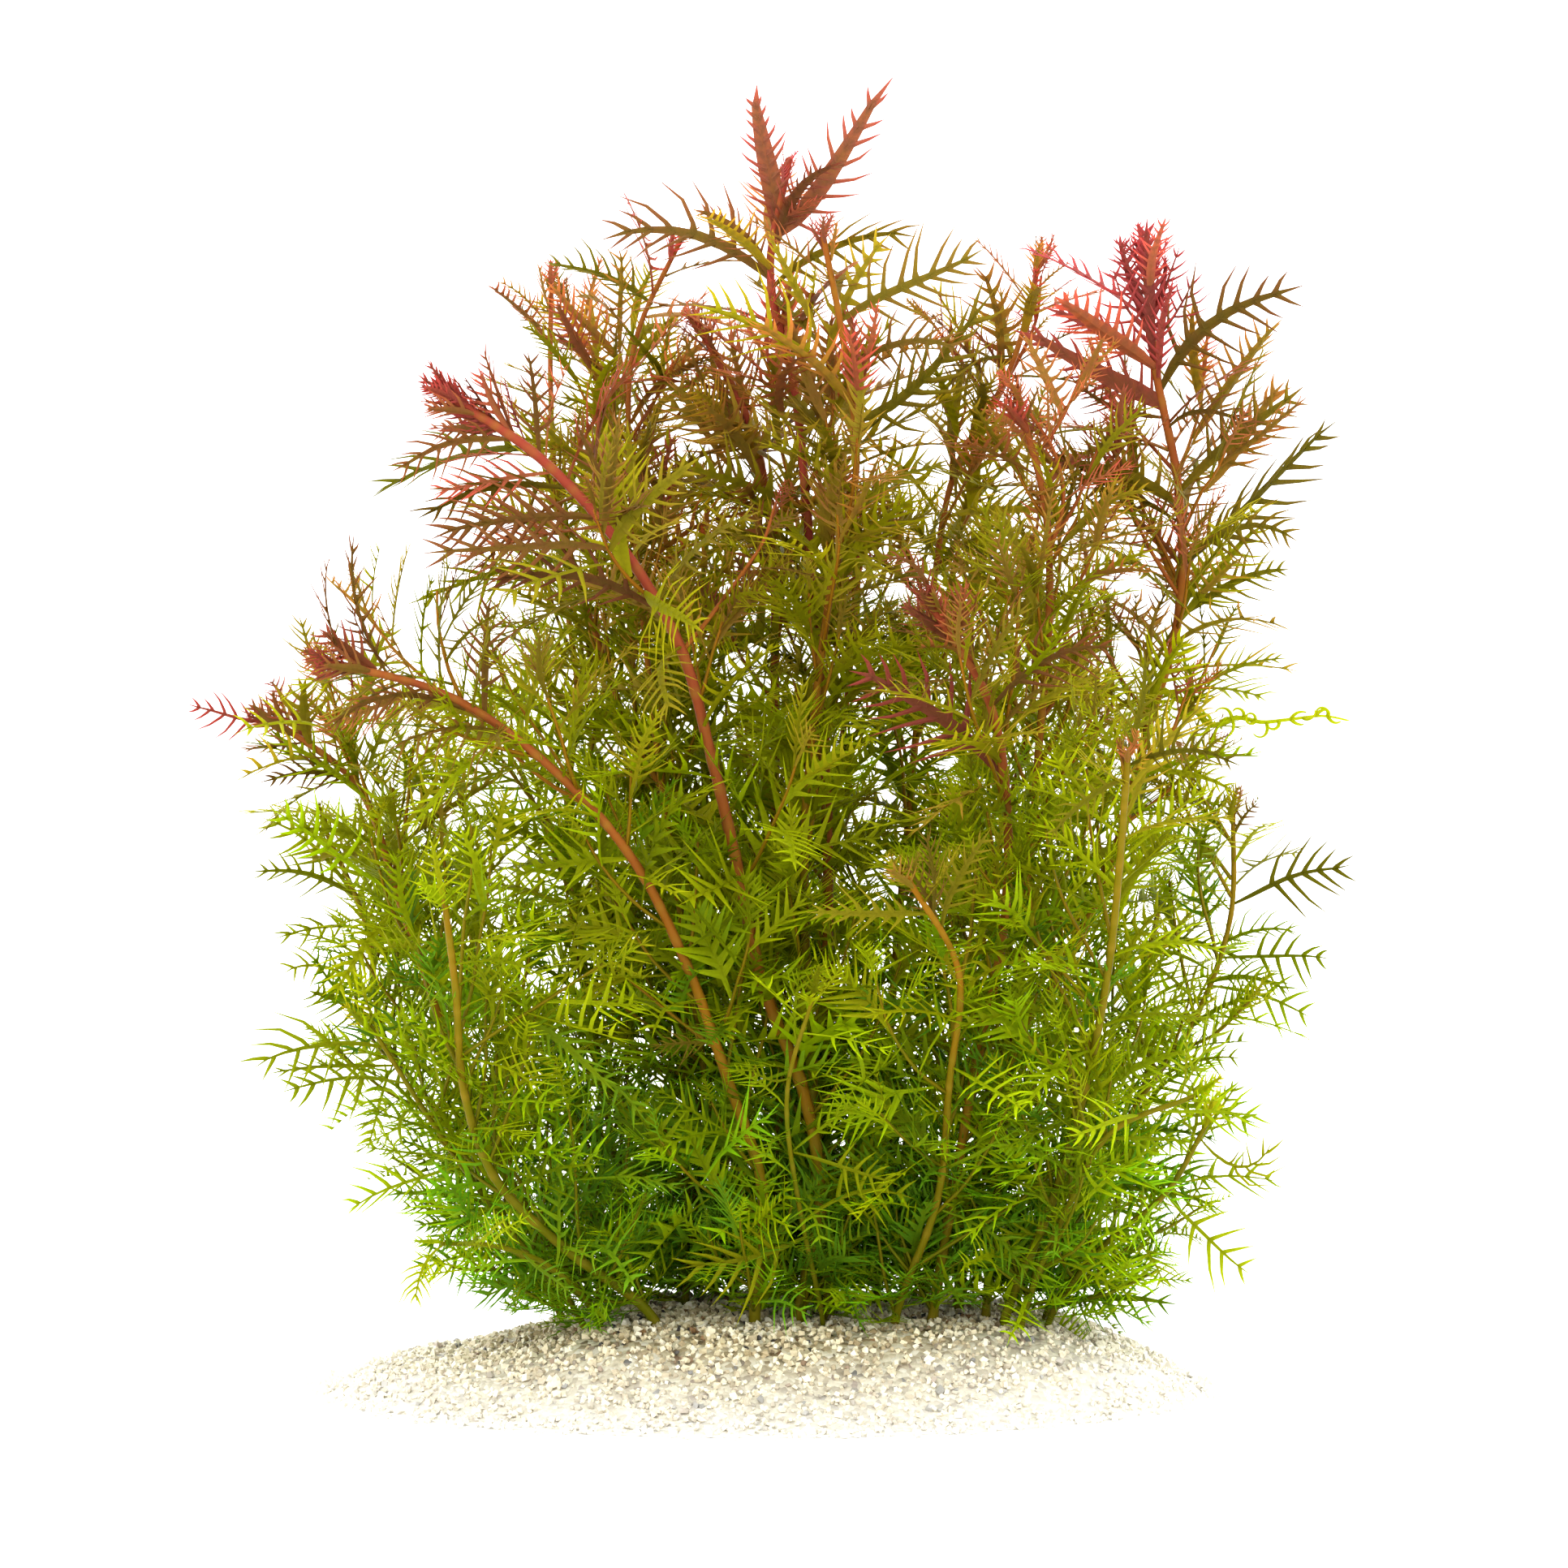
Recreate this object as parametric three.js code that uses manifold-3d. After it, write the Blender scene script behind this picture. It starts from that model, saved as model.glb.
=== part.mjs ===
// Mermaid weed: a bush of upright underwater shoots standing in their own heap of coarse pale sand.
// Units are millimetres, +Z is up, and -Y faces the viewer. The origin is on the flat underside of the sand.
//
// Every shoot is a round stem that runs down into the sand, and a mass of feathery leaves around it.
// The leaves of one shoot are one closed solid that reaches their tips. Where two shoots crowd each
// other, each solid ends half way to the next stem, so the solids never share any space.

import * as THREE from "three";
import { mergeVertices } from "three/addons/utils/BufferGeometryUtils.js";
import Module from "manifold-3d";

// ---------------------------------------------------------------- driving dimensions

const GAP = 0.4; // clearance around a stem where it passes through sand or leaves
const STEM_SIDES = 5;
const ROOT_DEPTH_Z = 4.5; // the stems end this high above the underside of the sand

// the heap of sand
const SAND_CENTRE = [-1, -2];
const SAND_HALF_WIDTH = 87; // along X
const SAND_HALF_DEPTH = 60; // along Y
const SAND_RIM = 0.9; // thickness of the sand at its outer edge
const SAND_TOP_Z = 15.6; // height of the level top that the shoots stand in
const SAND_SECTORS = 24;
const SAND_RINGS = [0.3, 0.48, 0.64, 0.8, 0.92]; // shares of the way from the middle to the edge
// height of the ridge from left to right, as a share of SAND_TOP_Z
const SAND_RIDGE = [
  [-87, 0.05],
  [-80, 0.24],
  [-68, 0.42],
  [-56, 0.5],
  [-45, 0.66],
  [-36, 0.9],
  [-26, 1],
  [42, 1],
  [56, 0.86],
  [68, 0.62],
  [78, 0.34],
  [86, 0.05],
];

// the leaves: their reach from the stem low down, half way up and at the growing tip
const LEAF_REACH = { low: 23, middle: 28, tip: 21 };
const LEAF_RISE = 50; // degrees from the stem's own direction, fully grown
const LEAF_RISE_TIP = 24; // degrees, in the young crown at the growing tip
const LEAF_STEP = 7; // height between the leaves that set the outline
const LEVELS = [16.6, 40, 64, 88, 112, 136, 160, 184, 208, 232, 254];
const DIRECTIONS = 8;
const CELL_MARGIN = 0.45; // each side of the half-way surface between two shoots
const LEAST_REACH = 3.2; // of the leaves' solid, where another shoot is closest

// Stems, from the bottom end in the sand to the growing tip. base and tip are radii.
const STEMS = [
  { name: "01_tall_centre", base: 1.30, tip: 0.75, line: [[10, 2, 4.5], [10.1, 2, 15.3], [10.6, 1.9, 38.1], [11.1, 1.8, 61], [11.6, 1.6, 83.9], [11.6, 1.4, 106.8], [11, 1.2, 129.7], [8.8, 1, 152.4], [7.4, 0.7, 175.3], [5, 0.5, 198], [0.3, 0.3, 220.4], [4, 0, 242.7]] },
  { name: "02_centre_gold", base: 1.15, tip: 0.60, line: [[12.3, -8.9, 4.5], [11.9, -9, 16.8], [10.1, -9.4, 40.4], [8.6, -10, 64], [7.2, -10.7, 87.7], [7.1, -11.4, 111.4], [9, -12.2, 135], [12.1, -13.1, 158.4], [17, -14, 181.6], [14.8, -15, 204.9], [10.4, -16, 228.1]] },
  { name: "03_left_arch_red", base: 1.35, tip: 0.95, line: [[5.2, -13.7, 4.5], [6, -14, 17.3], [10.2, -15.5, 39.4], [6.6, -17.6, 61.6], [-1.3, -20.1, 82.6], [-5.9, -22.9, 104.7], [-11, -25.9, 126.6], [-17.1, -29.2, 148.3], [-28.4, -32.6, 167.5], [-43.5, -36.2, 184.1], [-61.9, -40, 196.8]] },
  { name: "04_left_arch_low", base: 1.20, tip: 0.75, line: [[-3, -17.4, 4.5], [-2.7, -18, 17.7], [-1.1, -21, 41.7], [-8, -25.3, 64.3], [-15.7, -30.4, 86.7], [-26.2, -36.1, 107.8], [-41.5, -42.3, 125.5], [-60.3, -48.9, 139.2], [-82.5, -56, 146]] },
  { name: "05_left_outer", base: 0.95, tip: 0.65, line: [[-32, -4, 4.5], [-34, -4, 15], [-46.7, -4, 34.2], [-57.2, -4, 54.6], [-65.4, -4, 76.1], [-72.9, -4, 97.8], [-80.6, -4, 119.5], [-97.6, -4, 133.1]] },
  { name: "06_left_mid", base: 0.75, tip: 0.50, line: [[-40.2, 13.8, 4.5], [-41.9, 14, 13.1], [-53.9, 15.5, 31.6], [-64.8, 17.7, 50.6], [-77.4, 20.2, 68.3], [-80.9, 23, 89.8], [-89.6, 26, 109.8]] },
  { name: "07_left_low", base: 0.70, tip: 0.45, line: [[-34.9, -13, 4.5], [-37.3, -14, 16.7], [-52, -19.9, 36.1], [-64.8, -28.3, 55.9], [-76.3, -38, 76]] },
  { name: "08_left_foot", base: 0.60, tip: 0.45, line: [[-31.4, -15.3, 4.5], [-33.6, -18, 17.3], [-42.1, -28.4, 28], [-51.9, -41.6, 33.7], [-61.5, -56, 36.1]] },
  { name: "09_left_front", base: 1.10, tip: 0.65, line: [[-19.9, -17.7, 4.5], [-23.3, -19, 17.7], [-39.2, -25.3, 31], [-52.5, -34, 45.9], [-58, -43.9, 64.1], [-58.8, -54.6, 83.1], [-60.3, -66, 101.6]] },
  { name: "10_left_shoulder", base: 0.85, tip: 0.50, line: [[-16.7, 12.8, 4.5], [-16.7, 13, 14.2], [-16.6, 14.6, 37.9], [-16.5, 16.9, 61.6], [-16.5, 19.6, 85.2], [-17.6, 22.5, 108.7], [-27.8, 25.7, 129.1], [-35.8, 29.1, 151.1], [-42.4, 32.6, 173.7], [-44.2, 36.2, 197], [-44.2, 40, 220.3]] },
  { name: "11_left_back", base: 0.85, tip: 0.55, line: [[-25.3, 23.6, 4.5], [-25.9, 24, 13], [-30.5, 27.6, 38.1], [-34.7, 32.9, 63.1], [-38.6, 39, 87.8], [-41.4, 45.5, 112.6], [-39.6, 52.6, 137.2], [-43.3, 60, 161.5]] },
  { name: "12_centre_back", base: 0.85, tip: 0.55, line: [[-2.4, 21.6, 4.5], [-2.9, 22, 13.3], [-6.4, 25, 37.1], [-9.2, 29.3, 60.8], [-11.3, 34.2, 84.4], [-12.7, 39.7, 108], [-13.8, 45.5, 131.5], [-13.7, 51.6, 154.9], [-12.7, 58, 178.3]] },
  { name: "13_left_top", base: 0.80, tip: 0.50, line: [[-6.5, 11.9, 4.5], [-6.9, 12, 14.5], [-9.9, 12.6, 38.6], [-13, 13.4, 62.6], [-16.6, 14.4, 86.6], [-20.3, 15.5, 110.6], [-23.3, 16.7, 134.6], [-25.8, 17.9, 158.7], [-27.9, 19.2, 182.8], [-26.8, 20.6, 207], [-17.1, 22, 228.9]] },
  { name: "14_left_top_back", base: 0.80, tip: 0.50, line: [[-10.9, 31.8, 4.5], [-11.2, 32, 12.1], [-14, 33.8, 35.4], [-17, 36.3, 58.6], [-20.3, 39.3, 81.8], [-24, 42.6, 104.8], [-27, 46.1, 128], [-28.5, 49.9, 151.2], [-30, 53.8, 174.4], [-33, 57.8, 197.4], [-43.2, 62, 218.1]] },
  { name: "15_centre_red", base: 1.05, tip: 0.80, line: [[4.7, 12, 4.5], [4.5, 12, 14.5], [2.7, 12, 39.6], [1.7, 12, 64.7], [1.4, 12, 89.8], [1.2, 12, 114.9], [1.2, 12, 140], [0.8, 12, 165.1], [-3.4, 12, 189.8], [-14.7, 12, 211.9]] },
  { name: "16_right_top", base: 0.90, tip: 0.55, line: [[21.4, 11.9, 4.5], [21.5, 12, 14.5], [22.5, 12.8, 38.5], [23.8, 14, 62.5], [25.5, 15.4, 86.4], [27.7, 16.9, 110.2], [29.9, 18.5, 134.1], [32.8, 20.3, 157.9], [37.2, 22.1, 181.4], [48.4, 24, 202.2], [54.7, 26, 225.2]] },
  { name: "17_right_tall", base: 1.20, tip: 0.80, line: [[37, 2, 4.5], [37.5, 2, 15.3], [40.3, 2.1, 39.6], [45.4, 2.3, 63.5], [58.4, 2.5, 84], [68.4, 2.7, 106.2], [74.6, 2.9, 129.9], [80.9, 3.2, 153.4], [80.8, 3.4, 177.9], [76.2, 3.7, 202], [73.9, 4, 226.4]] },
  { name: "18_right_centre", base: 1.05, tip: 0.80, line: [[31.5, -15.4, 4.5], [32.2, -16, 17.5], [36.1, -19.5, 41.8], [40, -24.6, 65.9], [44.7, -30.6, 89.6], [45.8, -37.2, 113.5], [42.2, -44.4, 137.1], [30.4, -52, 157]] },
  { name: "19_right_low_mid", base: 0.85, tip: 0.60, line: [[23.6, -18.6, 4.5], [25, -20, 17.9], [32.7, -27.7, 41.2], [34.6, -38.5, 64.5], [36, -50.7, 87.1], [26, -64, 105.9]] },
  { name: "20_right_mid_red", base: 0.95, tip: 0.70, line: [[42.4, -7.8, 4.5], [42.8, -8, 16.8], [44.7, -8.8, 39.5], [47, -10, 62.2], [49.3, -11.3, 84.8], [51.2, -12.8, 107.5], [52.8, -14.5, 130.2], [54.5, -16.2, 152.8], [53.5, -18.1, 175.5], [47.5, -20, 197.4]] },
  { name: "21_right_forward", base: 1.00, tip: 0.65, line: [[45, -14, 4.5], [46.5, -15.4, 17.2], [55.1, -23.6, 40.3], [60.7, -35, 63.1], [64.3, -47.6, 85.7], [65.8, -61.3, 107.8], [66.5, -76, 129.4]] },
  { name: "22_right_outer", base: 0.75, tip: 0.50, line: [[53.9, 3.8, 4.5], [55.3, 4, 14.8], [63.4, 5, 34.9], [72.4, 6.4, 54.6], [84.6, 8.1, 72.5], [91.8, 10, 92.6], [92.5, 12, 113.9]] },
  { name: "23_right_low", base: 0.75, tip: 0.50, line: [[48.4, -16.9, 4.5], [49.8, -18.5, 17.7], [57.1, -26.8, 37.6], [65.4, -38.4, 55], [81.3, -52, 63.9]] },
  { name: "24_right_foot", base: 0.75, tip: 0.50, line: [[53.2, -10.9, 4.5], [55.5, -12, 16.4], [65.2, -16.4, 30.4], [77.1, -22.8, 41.7], [84.5, -30, 55.9]] },
  { name: "25_back_centre", base: 0.90, tip: 0.60, line: [[12.8, 34.7, 4.5], [12.8, 35, 11.8], [12.1, 38.1, 37.4], [12, 42.6, 62.8], [12.6, 47.8, 88.1], [13.8, 53.5, 113.3], [16.4, 59.6, 138.2], [18.8, 66, 163.1]] },
  { name: "26_back_right", base: 0.90, tip: 0.60, line: [[31.4, 31.7, 4.5], [31.7, 32, 11.9], [34.4, 35.2, 35.8], [38, 39.9, 59.4], [42.4, 45.3, 82.6], [47.6, 51.1, 105.6], [53.3, 57.4, 128.4], [57.5, 64, 151.4]] },
  { name: "27_back_left_low", base: 0.85, tip: 0.60, line: [[-32.6, 29.4, 4.5], [-33.4, 30, 12], [-41, 35.2, 33.8], [-50.8, 42.5, 54.1], [-58.9, 50.9, 74.6], [-63.6, 60, 96]] },
  { name: "28_back_right_low", base: 0.85, tip: 0.60, line: [[48.4, 21.3, 4.5], [49.5, 22, 13.3], [57.4, 27.2, 34], [67.5, 34.5, 53.2], [75.5, 42.9, 72.8], [80.5, 52, 93.2]] },
  { name: "29_front_thin", base: 0.55, tip: 0.40, line: [[11.1, -18.1, 4.5], [10.3, -20, 17.9], [5.7, -31, 41.5], [3.6, -45.7, 63.5], [8.6, -62, 83.8]] },
];

const SAND_COLOUR = 0xd9cdb6;
const STEM_LOW = new THREE.Color(0x7d8a2a);
const STEM_HIGH = new THREE.Color(0xa8452f);
const LEAF_LOW = new THREE.Color(0x3f6d12);
const LEAF_HIGH = new THREE.Color(0x7a4a24);

// ---------------------------------------------------------------- solids

const wasm = await Module();
wasm.setup();

function solidOf(geometry) {
  const bare = geometry.clone();
  bare.deleteAttribute("normal");
  bare.deleteAttribute("uv");
  const merged = mergeVertices(bare, 1e-3);
  return new wasm.Manifold(
    new wasm.Mesh({
      numProp: 3,
      vertProperties: merged.attributes.position.array,
      triVerts: new Uint32Array(merged.index.array),
    }),
  );
}

function geometryOf(solid) {
  const mesh = solid.getMesh();
  const n = mesh.numProp;
  const position = new Float32Array(mesh.numVert * 3);
  for (let i = 0; i < mesh.numVert; i++)
    position.set(mesh.vertProperties.subarray(i * n, i * n + 3), i * 3);
  const geometry = new THREE.BufferGeometry()
    .setAttribute("position", new THREE.BufferAttribute(position, 3))
    .setIndex(new THREE.BufferAttribute(new Uint32Array(mesh.triVerts), 1));
  geometry.computeVertexNormals();
  return geometry;
}

function largestBody(solid) {
  const bodies = solid.decompose();
  return bodies.reduce((a, b) => (b.volume() > a.volume() ? b : a));
}

// A closed solid through rings of points, all with the same number of points and the same turn.
function loft(rings) {
  const sides = rings[0].length;
  const points = [];
  for (const ring of rings) for (const p of ring) points.push(p.x, p.y, p.z);
  const index = [];
  for (let k = 0; k + 1 < rings.length; k++)
    for (let i = 0; i < sides; i++) {
      const a = k * sides + i;
      const b = k * sides + ((i + 1) % sides);
      index.push(a, b, b + sides, a, b + sides, a + sides);
    }
  for (const [k, up] of [
    [0, false],
    [rings.length - 1, true],
  ]) {
    const middle = rings[k]
      .reduce((s, p) => s.add(p), new THREE.Vector3())
      .divideScalar(sides);
    const m = points.length / 3;
    points.push(middle.x, middle.y, middle.z);
    for (let i = 0; i < sides; i++) {
      const a = k * sides + i;
      const b = k * sides + ((i + 1) % sides);
      if (up) index.push(a, b, m);
      else index.push(b, a, m);
    }
  }
  return new THREE.BufferGeometry()
    .setAttribute("position", new THREE.Float32BufferAttribute(points, 3))
    .setIndex(index);
}

// ---------------------------------------------------------------- stems

for (const stem of STEMS) {
  stem.points = stem.line.map((p) => new THREE.Vector3(...p));
  const path = new THREE.CurvePath();
  for (let k = 0; k + 1 < stem.points.length; k++)
    path.add(new THREE.LineCurve3(stem.points[k], stem.points[k + 1]));
  stem.path = path;
  stem.length = path.getLength();
  stem.end = stem.points[stem.points.length - 1];
  stem.heading = stem.end
    .clone()
    .sub(stem.points[stem.points.length - 2])
    .normalize();
}

// A stem with its radius grown by extra, and both ends longer by extra.
function stemGeometry(stem, extra = 0) {
  const line = stem.points.map((p) => p.clone());
  const n = line.length;
  const first = line[1].clone().sub(line[0]).normalize();
  line[0].addScaledVector(first, -extra);
  line[n - 1].addScaledVector(stem.heading, extra);
  const rings = line.map((p, k) => {
    const before = line[Math.max(k - 1, 0)];
    const after = line[Math.min(k + 1, n - 1)];
    const along = after.clone().sub(before).normalize();
    // the section's own X stays across the stem, as seen from the front
    const side = new THREE.Vector3(0, 1, 0).cross(along).normalize();
    const front = along.clone().cross(side);
    const radius =
      stem.base + ((stem.tip - stem.base) * k) / (n - 1) + extra;
    return Array.from({ length: STEM_SIDES }, (_, i) => {
      const turn = (2 * Math.PI * (i + 0.5)) / STEM_SIDES;
      return p
        .clone()
        .addScaledVector(side, radius * Math.cos(turn))
        .addScaledVector(front, radius * Math.sin(turn));
    });
  });
  return loft(rings);
}

for (const stem of STEMS) {
  stem.solid = solidOf(stemGeometry(stem));
  stem.clear = solidOf(stemGeometry(stem, GAP));
}

// ---------------------------------------------------------------- sand

function along(table, x) {
  if (x <= table[0][0]) return table[0][1];
  for (let k = 0; k + 1 < table.length; k++) {
    const [a, p] = table[k];
    const [b, q] = table[k + 1];
    if (x <= b) return p + ((q - p) * (x - a)) / (b - a);
  }
  return table[table.length - 1][1];
}

function sandHeight(x, y) {
  const across = (x - SAND_CENTRE[0]) / SAND_HALF_WIDTH;
  const half = SAND_HALF_DEPTH * Math.sqrt(Math.max(1 - across * across, 0.02));
  const t = Math.min(Math.abs(y - SAND_CENTRE[1]) / half, 1);
  const slope = 1 - THREE.MathUtils.smoothstep(t, 0.42, 1.06);
  return Math.max(SAND_TOP_Z * along(SAND_RIDGE, x) * slope, SAND_RIM);
}

function sandGeometry() {
  // a turned disc, then pulled out to the heap's outline and up to its height
  const profile = [
    new THREE.Vector2(0, 0),
    new THREE.Vector2(1, 0),
    new THREE.Vector2(1, 1),
    ...SAND_RINGS.toReversed().map((r) => new THREE.Vector2(r, 1)),
    new THREE.Vector2(0, 1),
  ];
  const disc = new THREE.LatheGeometry(profile, SAND_SECTORS);
  const p = disc.attributes.position;
  for (let i = 0; i < p.count; i++) {
    const top = p.getY(i) > 0.5;
    const share = Math.hypot(p.getX(i), p.getZ(i));
    const x = SAND_CENTRE[0] + SAND_HALF_WIDTH * p.getX(i);
    const y = SAND_CENTRE[1] - SAND_HALF_DEPTH * p.getZ(i);
    const z = !top ? 0 : share > 0.999 ? SAND_RIM : sandHeight(x, y);
    p.setXYZ(i, x, y, z);
  }
  return disc;
}

let sand = solidOf(sandGeometry());
if (sand.volume() < 0) throw new Error("the sand is inside out");
for (const stem of STEMS) sand = sand.subtract(stem.clear);
sand = largestBody(sand);

// ---------------------------------------------------------------- leaves

// Where a shoot's stem is at a height, and above its tip the line that it was growing along.
function centreAt(stem, z) {
  const line = stem.points;
  for (let k = 0; k + 1 < line.length; k++)
    if (z >= line[k].z && z <= line[k + 1].z && line[k + 1].z > line[k].z)
      return line[k]
        .clone()
        .lerp(line[k + 1], (z - line[k].z) / (line[k + 1].z - line[k].z));
  const over = stem.end.clone().addScaledVector(stem.heading, 5);
  over.z = z;
  return over;
}

// The tips of a shoot's leaves, all round it and all the way up.
function leafTips(stem) {
  const tips = [];
  const steps = Math.max(Math.round(stem.length / LEAF_STEP), 4);
  for (let k = 0; k <= steps; k++) {
    const share = k / steps;
    const p = stem.path.getPointAt(share);
    if (p.z < LEVELS[0] - 4) continue;
    const t = stem.path.getTangentAt(share).normalize();
    const side = new THREE.Vector3(0, 1, 0).cross(t).normalize();
    const front = t.clone().cross(side);
    const crown = THREE.MathUtils.smoothstep(share, 0.8, 1);
    const grown =
      share < 0.5
        ? THREE.MathUtils.lerp(LEAF_REACH.low, LEAF_REACH.middle, share * 2)
        : LEAF_REACH.middle;
    const reach = THREE.MathUtils.lerp(grown, LEAF_REACH.tip, crown);
    const rise = THREE.MathUtils.degToRad(
      THREE.MathUtils.lerp(LEAF_RISE, LEAF_RISE_TIP, crown),
    );
    for (let i = 0; i < 12; i++) {
      const turn = (2 * Math.PI * i) / 12;
      tips.push(
        p
          .clone()
          .addScaledVector(t, reach * Math.cos(rise))
          .addScaledVector(side, reach * Math.sin(rise) * Math.cos(turn))
          .addScaledVector(front, reach * Math.sin(rise) * Math.sin(turn)),
      );
    }
  }
  return tips;
}

const segment = new THREE.Line3();
const nearest = new THREE.Vector3();
function distanceTo(stem, p) {
  let best = Infinity;
  for (let k = 0; k + 1 < stem.points.length; k++) {
    segment.set(stem.points[k], stem.points[k + 1]);
    segment.closestPointToPoint(p, true, nearest);
    best = Math.min(best, nearest.distanceTo(p));
  }
  return best;
}

const headings = Array.from({ length: DIRECTIONS }, (_, i) => {
  const turn = (2 * Math.PI * (i + 0.5)) / DIRECTIONS;
  return new THREE.Vector3(Math.cos(turn), Math.sin(turn), 0);
});

for (const stem of STEMS) {
  const tips = leafTips(stem);
  const top = Math.max(...tips.map((p) => p.z));
  const levels = LEVELS.filter((z) => z < top - 7);
  levels.push(top);
  stem.rings = levels.map((z, k) => {
    const centre = centreAt(stem, z);
    const last = k === levels.length - 1;
    const slab = tips.filter((p) => Math.abs(p.z - z) < (last ? 6 : 13));
    const reach = headings.map((h) => {
      let far = 0;
      for (const p of slab)
        far = Math.max(far, p.clone().sub(centre).dot(h) * (last ? 0.8 : 1));
      far = Math.max(far, LEAST_REACH);
      // no further than half way to any other stem
      let r = Math.min(far, 1.5);
      for (; r + 0.5 <= far; r += 0.5) {
        const p = centre.clone().addScaledVector(h, r + 0.5);
        const own = distanceTo(stem, p);
        if (
          STEMS.some(
            (other) =>
              other !== stem && distanceTo(other, p) < own + 2 * CELL_MARGIN,
          )
        )
          break;
      }
      return Math.max(r, LEAST_REACH);
    });
    return { z, centre, reach };
  });
}

function leafSolid(stem) {
  return solidOf(
    loft(
      stem.rings.map(({ centre, reach }) =>
        headings.map((h, i) => centre.clone().addScaledVector(h, reach[i])),
      ),
    ),
  );
}

// Where two neighbours still touch, both draw back from each other until they are clear.
for (const stem of STEMS) stem.leaves = leafSolid(stem);
function drawBack(stem, other, low, high) {
  const lasts = stem.rings.length - 1;
  stem.rings.forEach((ring, k) => {
    const below = stem.rings[Math.max(k - 1, 0)].z;
    const above = stem.rings[Math.min(k + 1, lasts)].z;
    if (above < low || below > high) return;
    const away = centreAt(other, ring.z).sub(ring.centre);
    away.z = 0;
    away.normalize();
    headings.forEach((h, i) => {
      if (h.dot(away) > 0.1)
        ring.reach[i] = Math.max(ring.reach[i] * 0.94, 2.2);
    });
  });
  stem.leaves = leafSolid(stem);
}
let touching = true;
for (let round = 0; touching && round < 60; round++) {
  touching = false;
  for (let i = 0; i < STEMS.length; i++)
    for (let j = i + 1; j < STEMS.length; j++) {
      const common = STEMS[i].leaves.intersect(STEMS[j].leaves);
      if (common.volume() < 1e-3) continue;
      touching = true;
      const box = common.boundingBox();
      drawBack(STEMS[i], STEMS[j], box.min[2], box.max[2]);
      drawBack(STEMS[j], STEMS[i], box.min[2], box.max[2]);
    }
}

for (const stem of STEMS) {
  let leaves = stem.leaves.subtract(stem.clear);
  for (const other of STEMS)
    if (other !== stem && leaves.intersect(other.clear).volume() > 1e-4)
      leaves = leaves.subtract(other.clear);
  stem.leaves = largestBody(leaves);
}
// the last of any contact is taken off the second of the two
for (let i = 0; i < STEMS.length; i++)
  for (let j = i + 1; j < STEMS.length; j++)
    if (STEMS[i].leaves.intersect(STEMS[j].leaves).volume() > 1e-3)
      STEMS[j].leaves = largestBody(
        STEMS[j].leaves.subtract(STEMS[i].leaves),
      );

// ---------------------------------------------------------------- the plant

const plant = new THREE.Group();
plant.name = "mermaid_weed";

function add(name, solid, colour, roughness) {
  const mesh = new THREE.Mesh(
    geometryOf(solid),
    new THREE.MeshStandardMaterial({ color: colour, roughness, metalness: 0 }),
  );
  mesh.name = name;
  plant.add(mesh);
}

add("sand_heap", sand, SAND_COLOUR, 0.9);
for (const stem of STEMS) {
  const high = THREE.MathUtils.smoothstep(stem.end.z, 60, 240);
  add(
    "stem_" + stem.name,
    stem.solid,
    STEM_LOW.clone().lerp(STEM_HIGH, high),
    0.45,
  );
  add(
    "leaves_" + stem.name,
    stem.leaves,
    LEAF_LOW.clone().lerp(LEAF_HIGH, high),
    0.5,
  );
}

export default plant;
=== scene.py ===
"""Mermaid weed: the looks. Every leaf, stem and grain is a mesh, placed along the stems of the CAD frame."""

import math

import bpy
import numpy as np
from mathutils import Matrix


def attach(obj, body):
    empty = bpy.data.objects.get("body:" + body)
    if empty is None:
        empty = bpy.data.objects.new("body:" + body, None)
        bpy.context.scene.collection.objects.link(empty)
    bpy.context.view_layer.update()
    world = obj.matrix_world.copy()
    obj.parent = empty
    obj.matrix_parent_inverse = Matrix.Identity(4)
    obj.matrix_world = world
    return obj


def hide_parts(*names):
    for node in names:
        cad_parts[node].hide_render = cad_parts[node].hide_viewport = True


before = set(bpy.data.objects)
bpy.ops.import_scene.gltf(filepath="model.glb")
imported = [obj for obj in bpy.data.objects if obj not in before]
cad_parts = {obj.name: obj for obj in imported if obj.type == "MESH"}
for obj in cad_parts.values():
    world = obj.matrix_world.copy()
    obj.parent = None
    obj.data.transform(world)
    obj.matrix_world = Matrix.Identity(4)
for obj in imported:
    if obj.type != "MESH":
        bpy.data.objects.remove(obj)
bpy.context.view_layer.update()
scene = bpy.context.scene
MM = 0.001

# ---------------------------------------------------------------- camera

VIEW_ELEVATION = math.radians(3.0)
VIEW_DISTANCE = 1.2
VIEW_TARGET = (0.003, 0.0, 0.120)
camera_data = bpy.data.cameras.new("camera")
camera_data.lens = 139.75
camera_data.sensor_width = 36.0
camera_data.clip_start = 0.05
camera_data.clip_end = 30.0
camera = bpy.data.objects.new("camera", camera_data)
camera.location = (
    VIEW_TARGET[0],
    VIEW_TARGET[1] - VIEW_DISTANCE * math.cos(VIEW_ELEVATION),
    VIEW_TARGET[2] + VIEW_DISTANCE * math.sin(VIEW_ELEVATION),
)
camera.rotation_euler = (math.pi / 2 - VIEW_ELEVATION, 0.0, 0.0)
scene.collection.objects.link(camera)
scene.camera = camera

# ---------------------------------------------------------------- stems, in mm as in the CAD source
# name: (radius at the sand, radius at the tip, centreline from the sand up)

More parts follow.
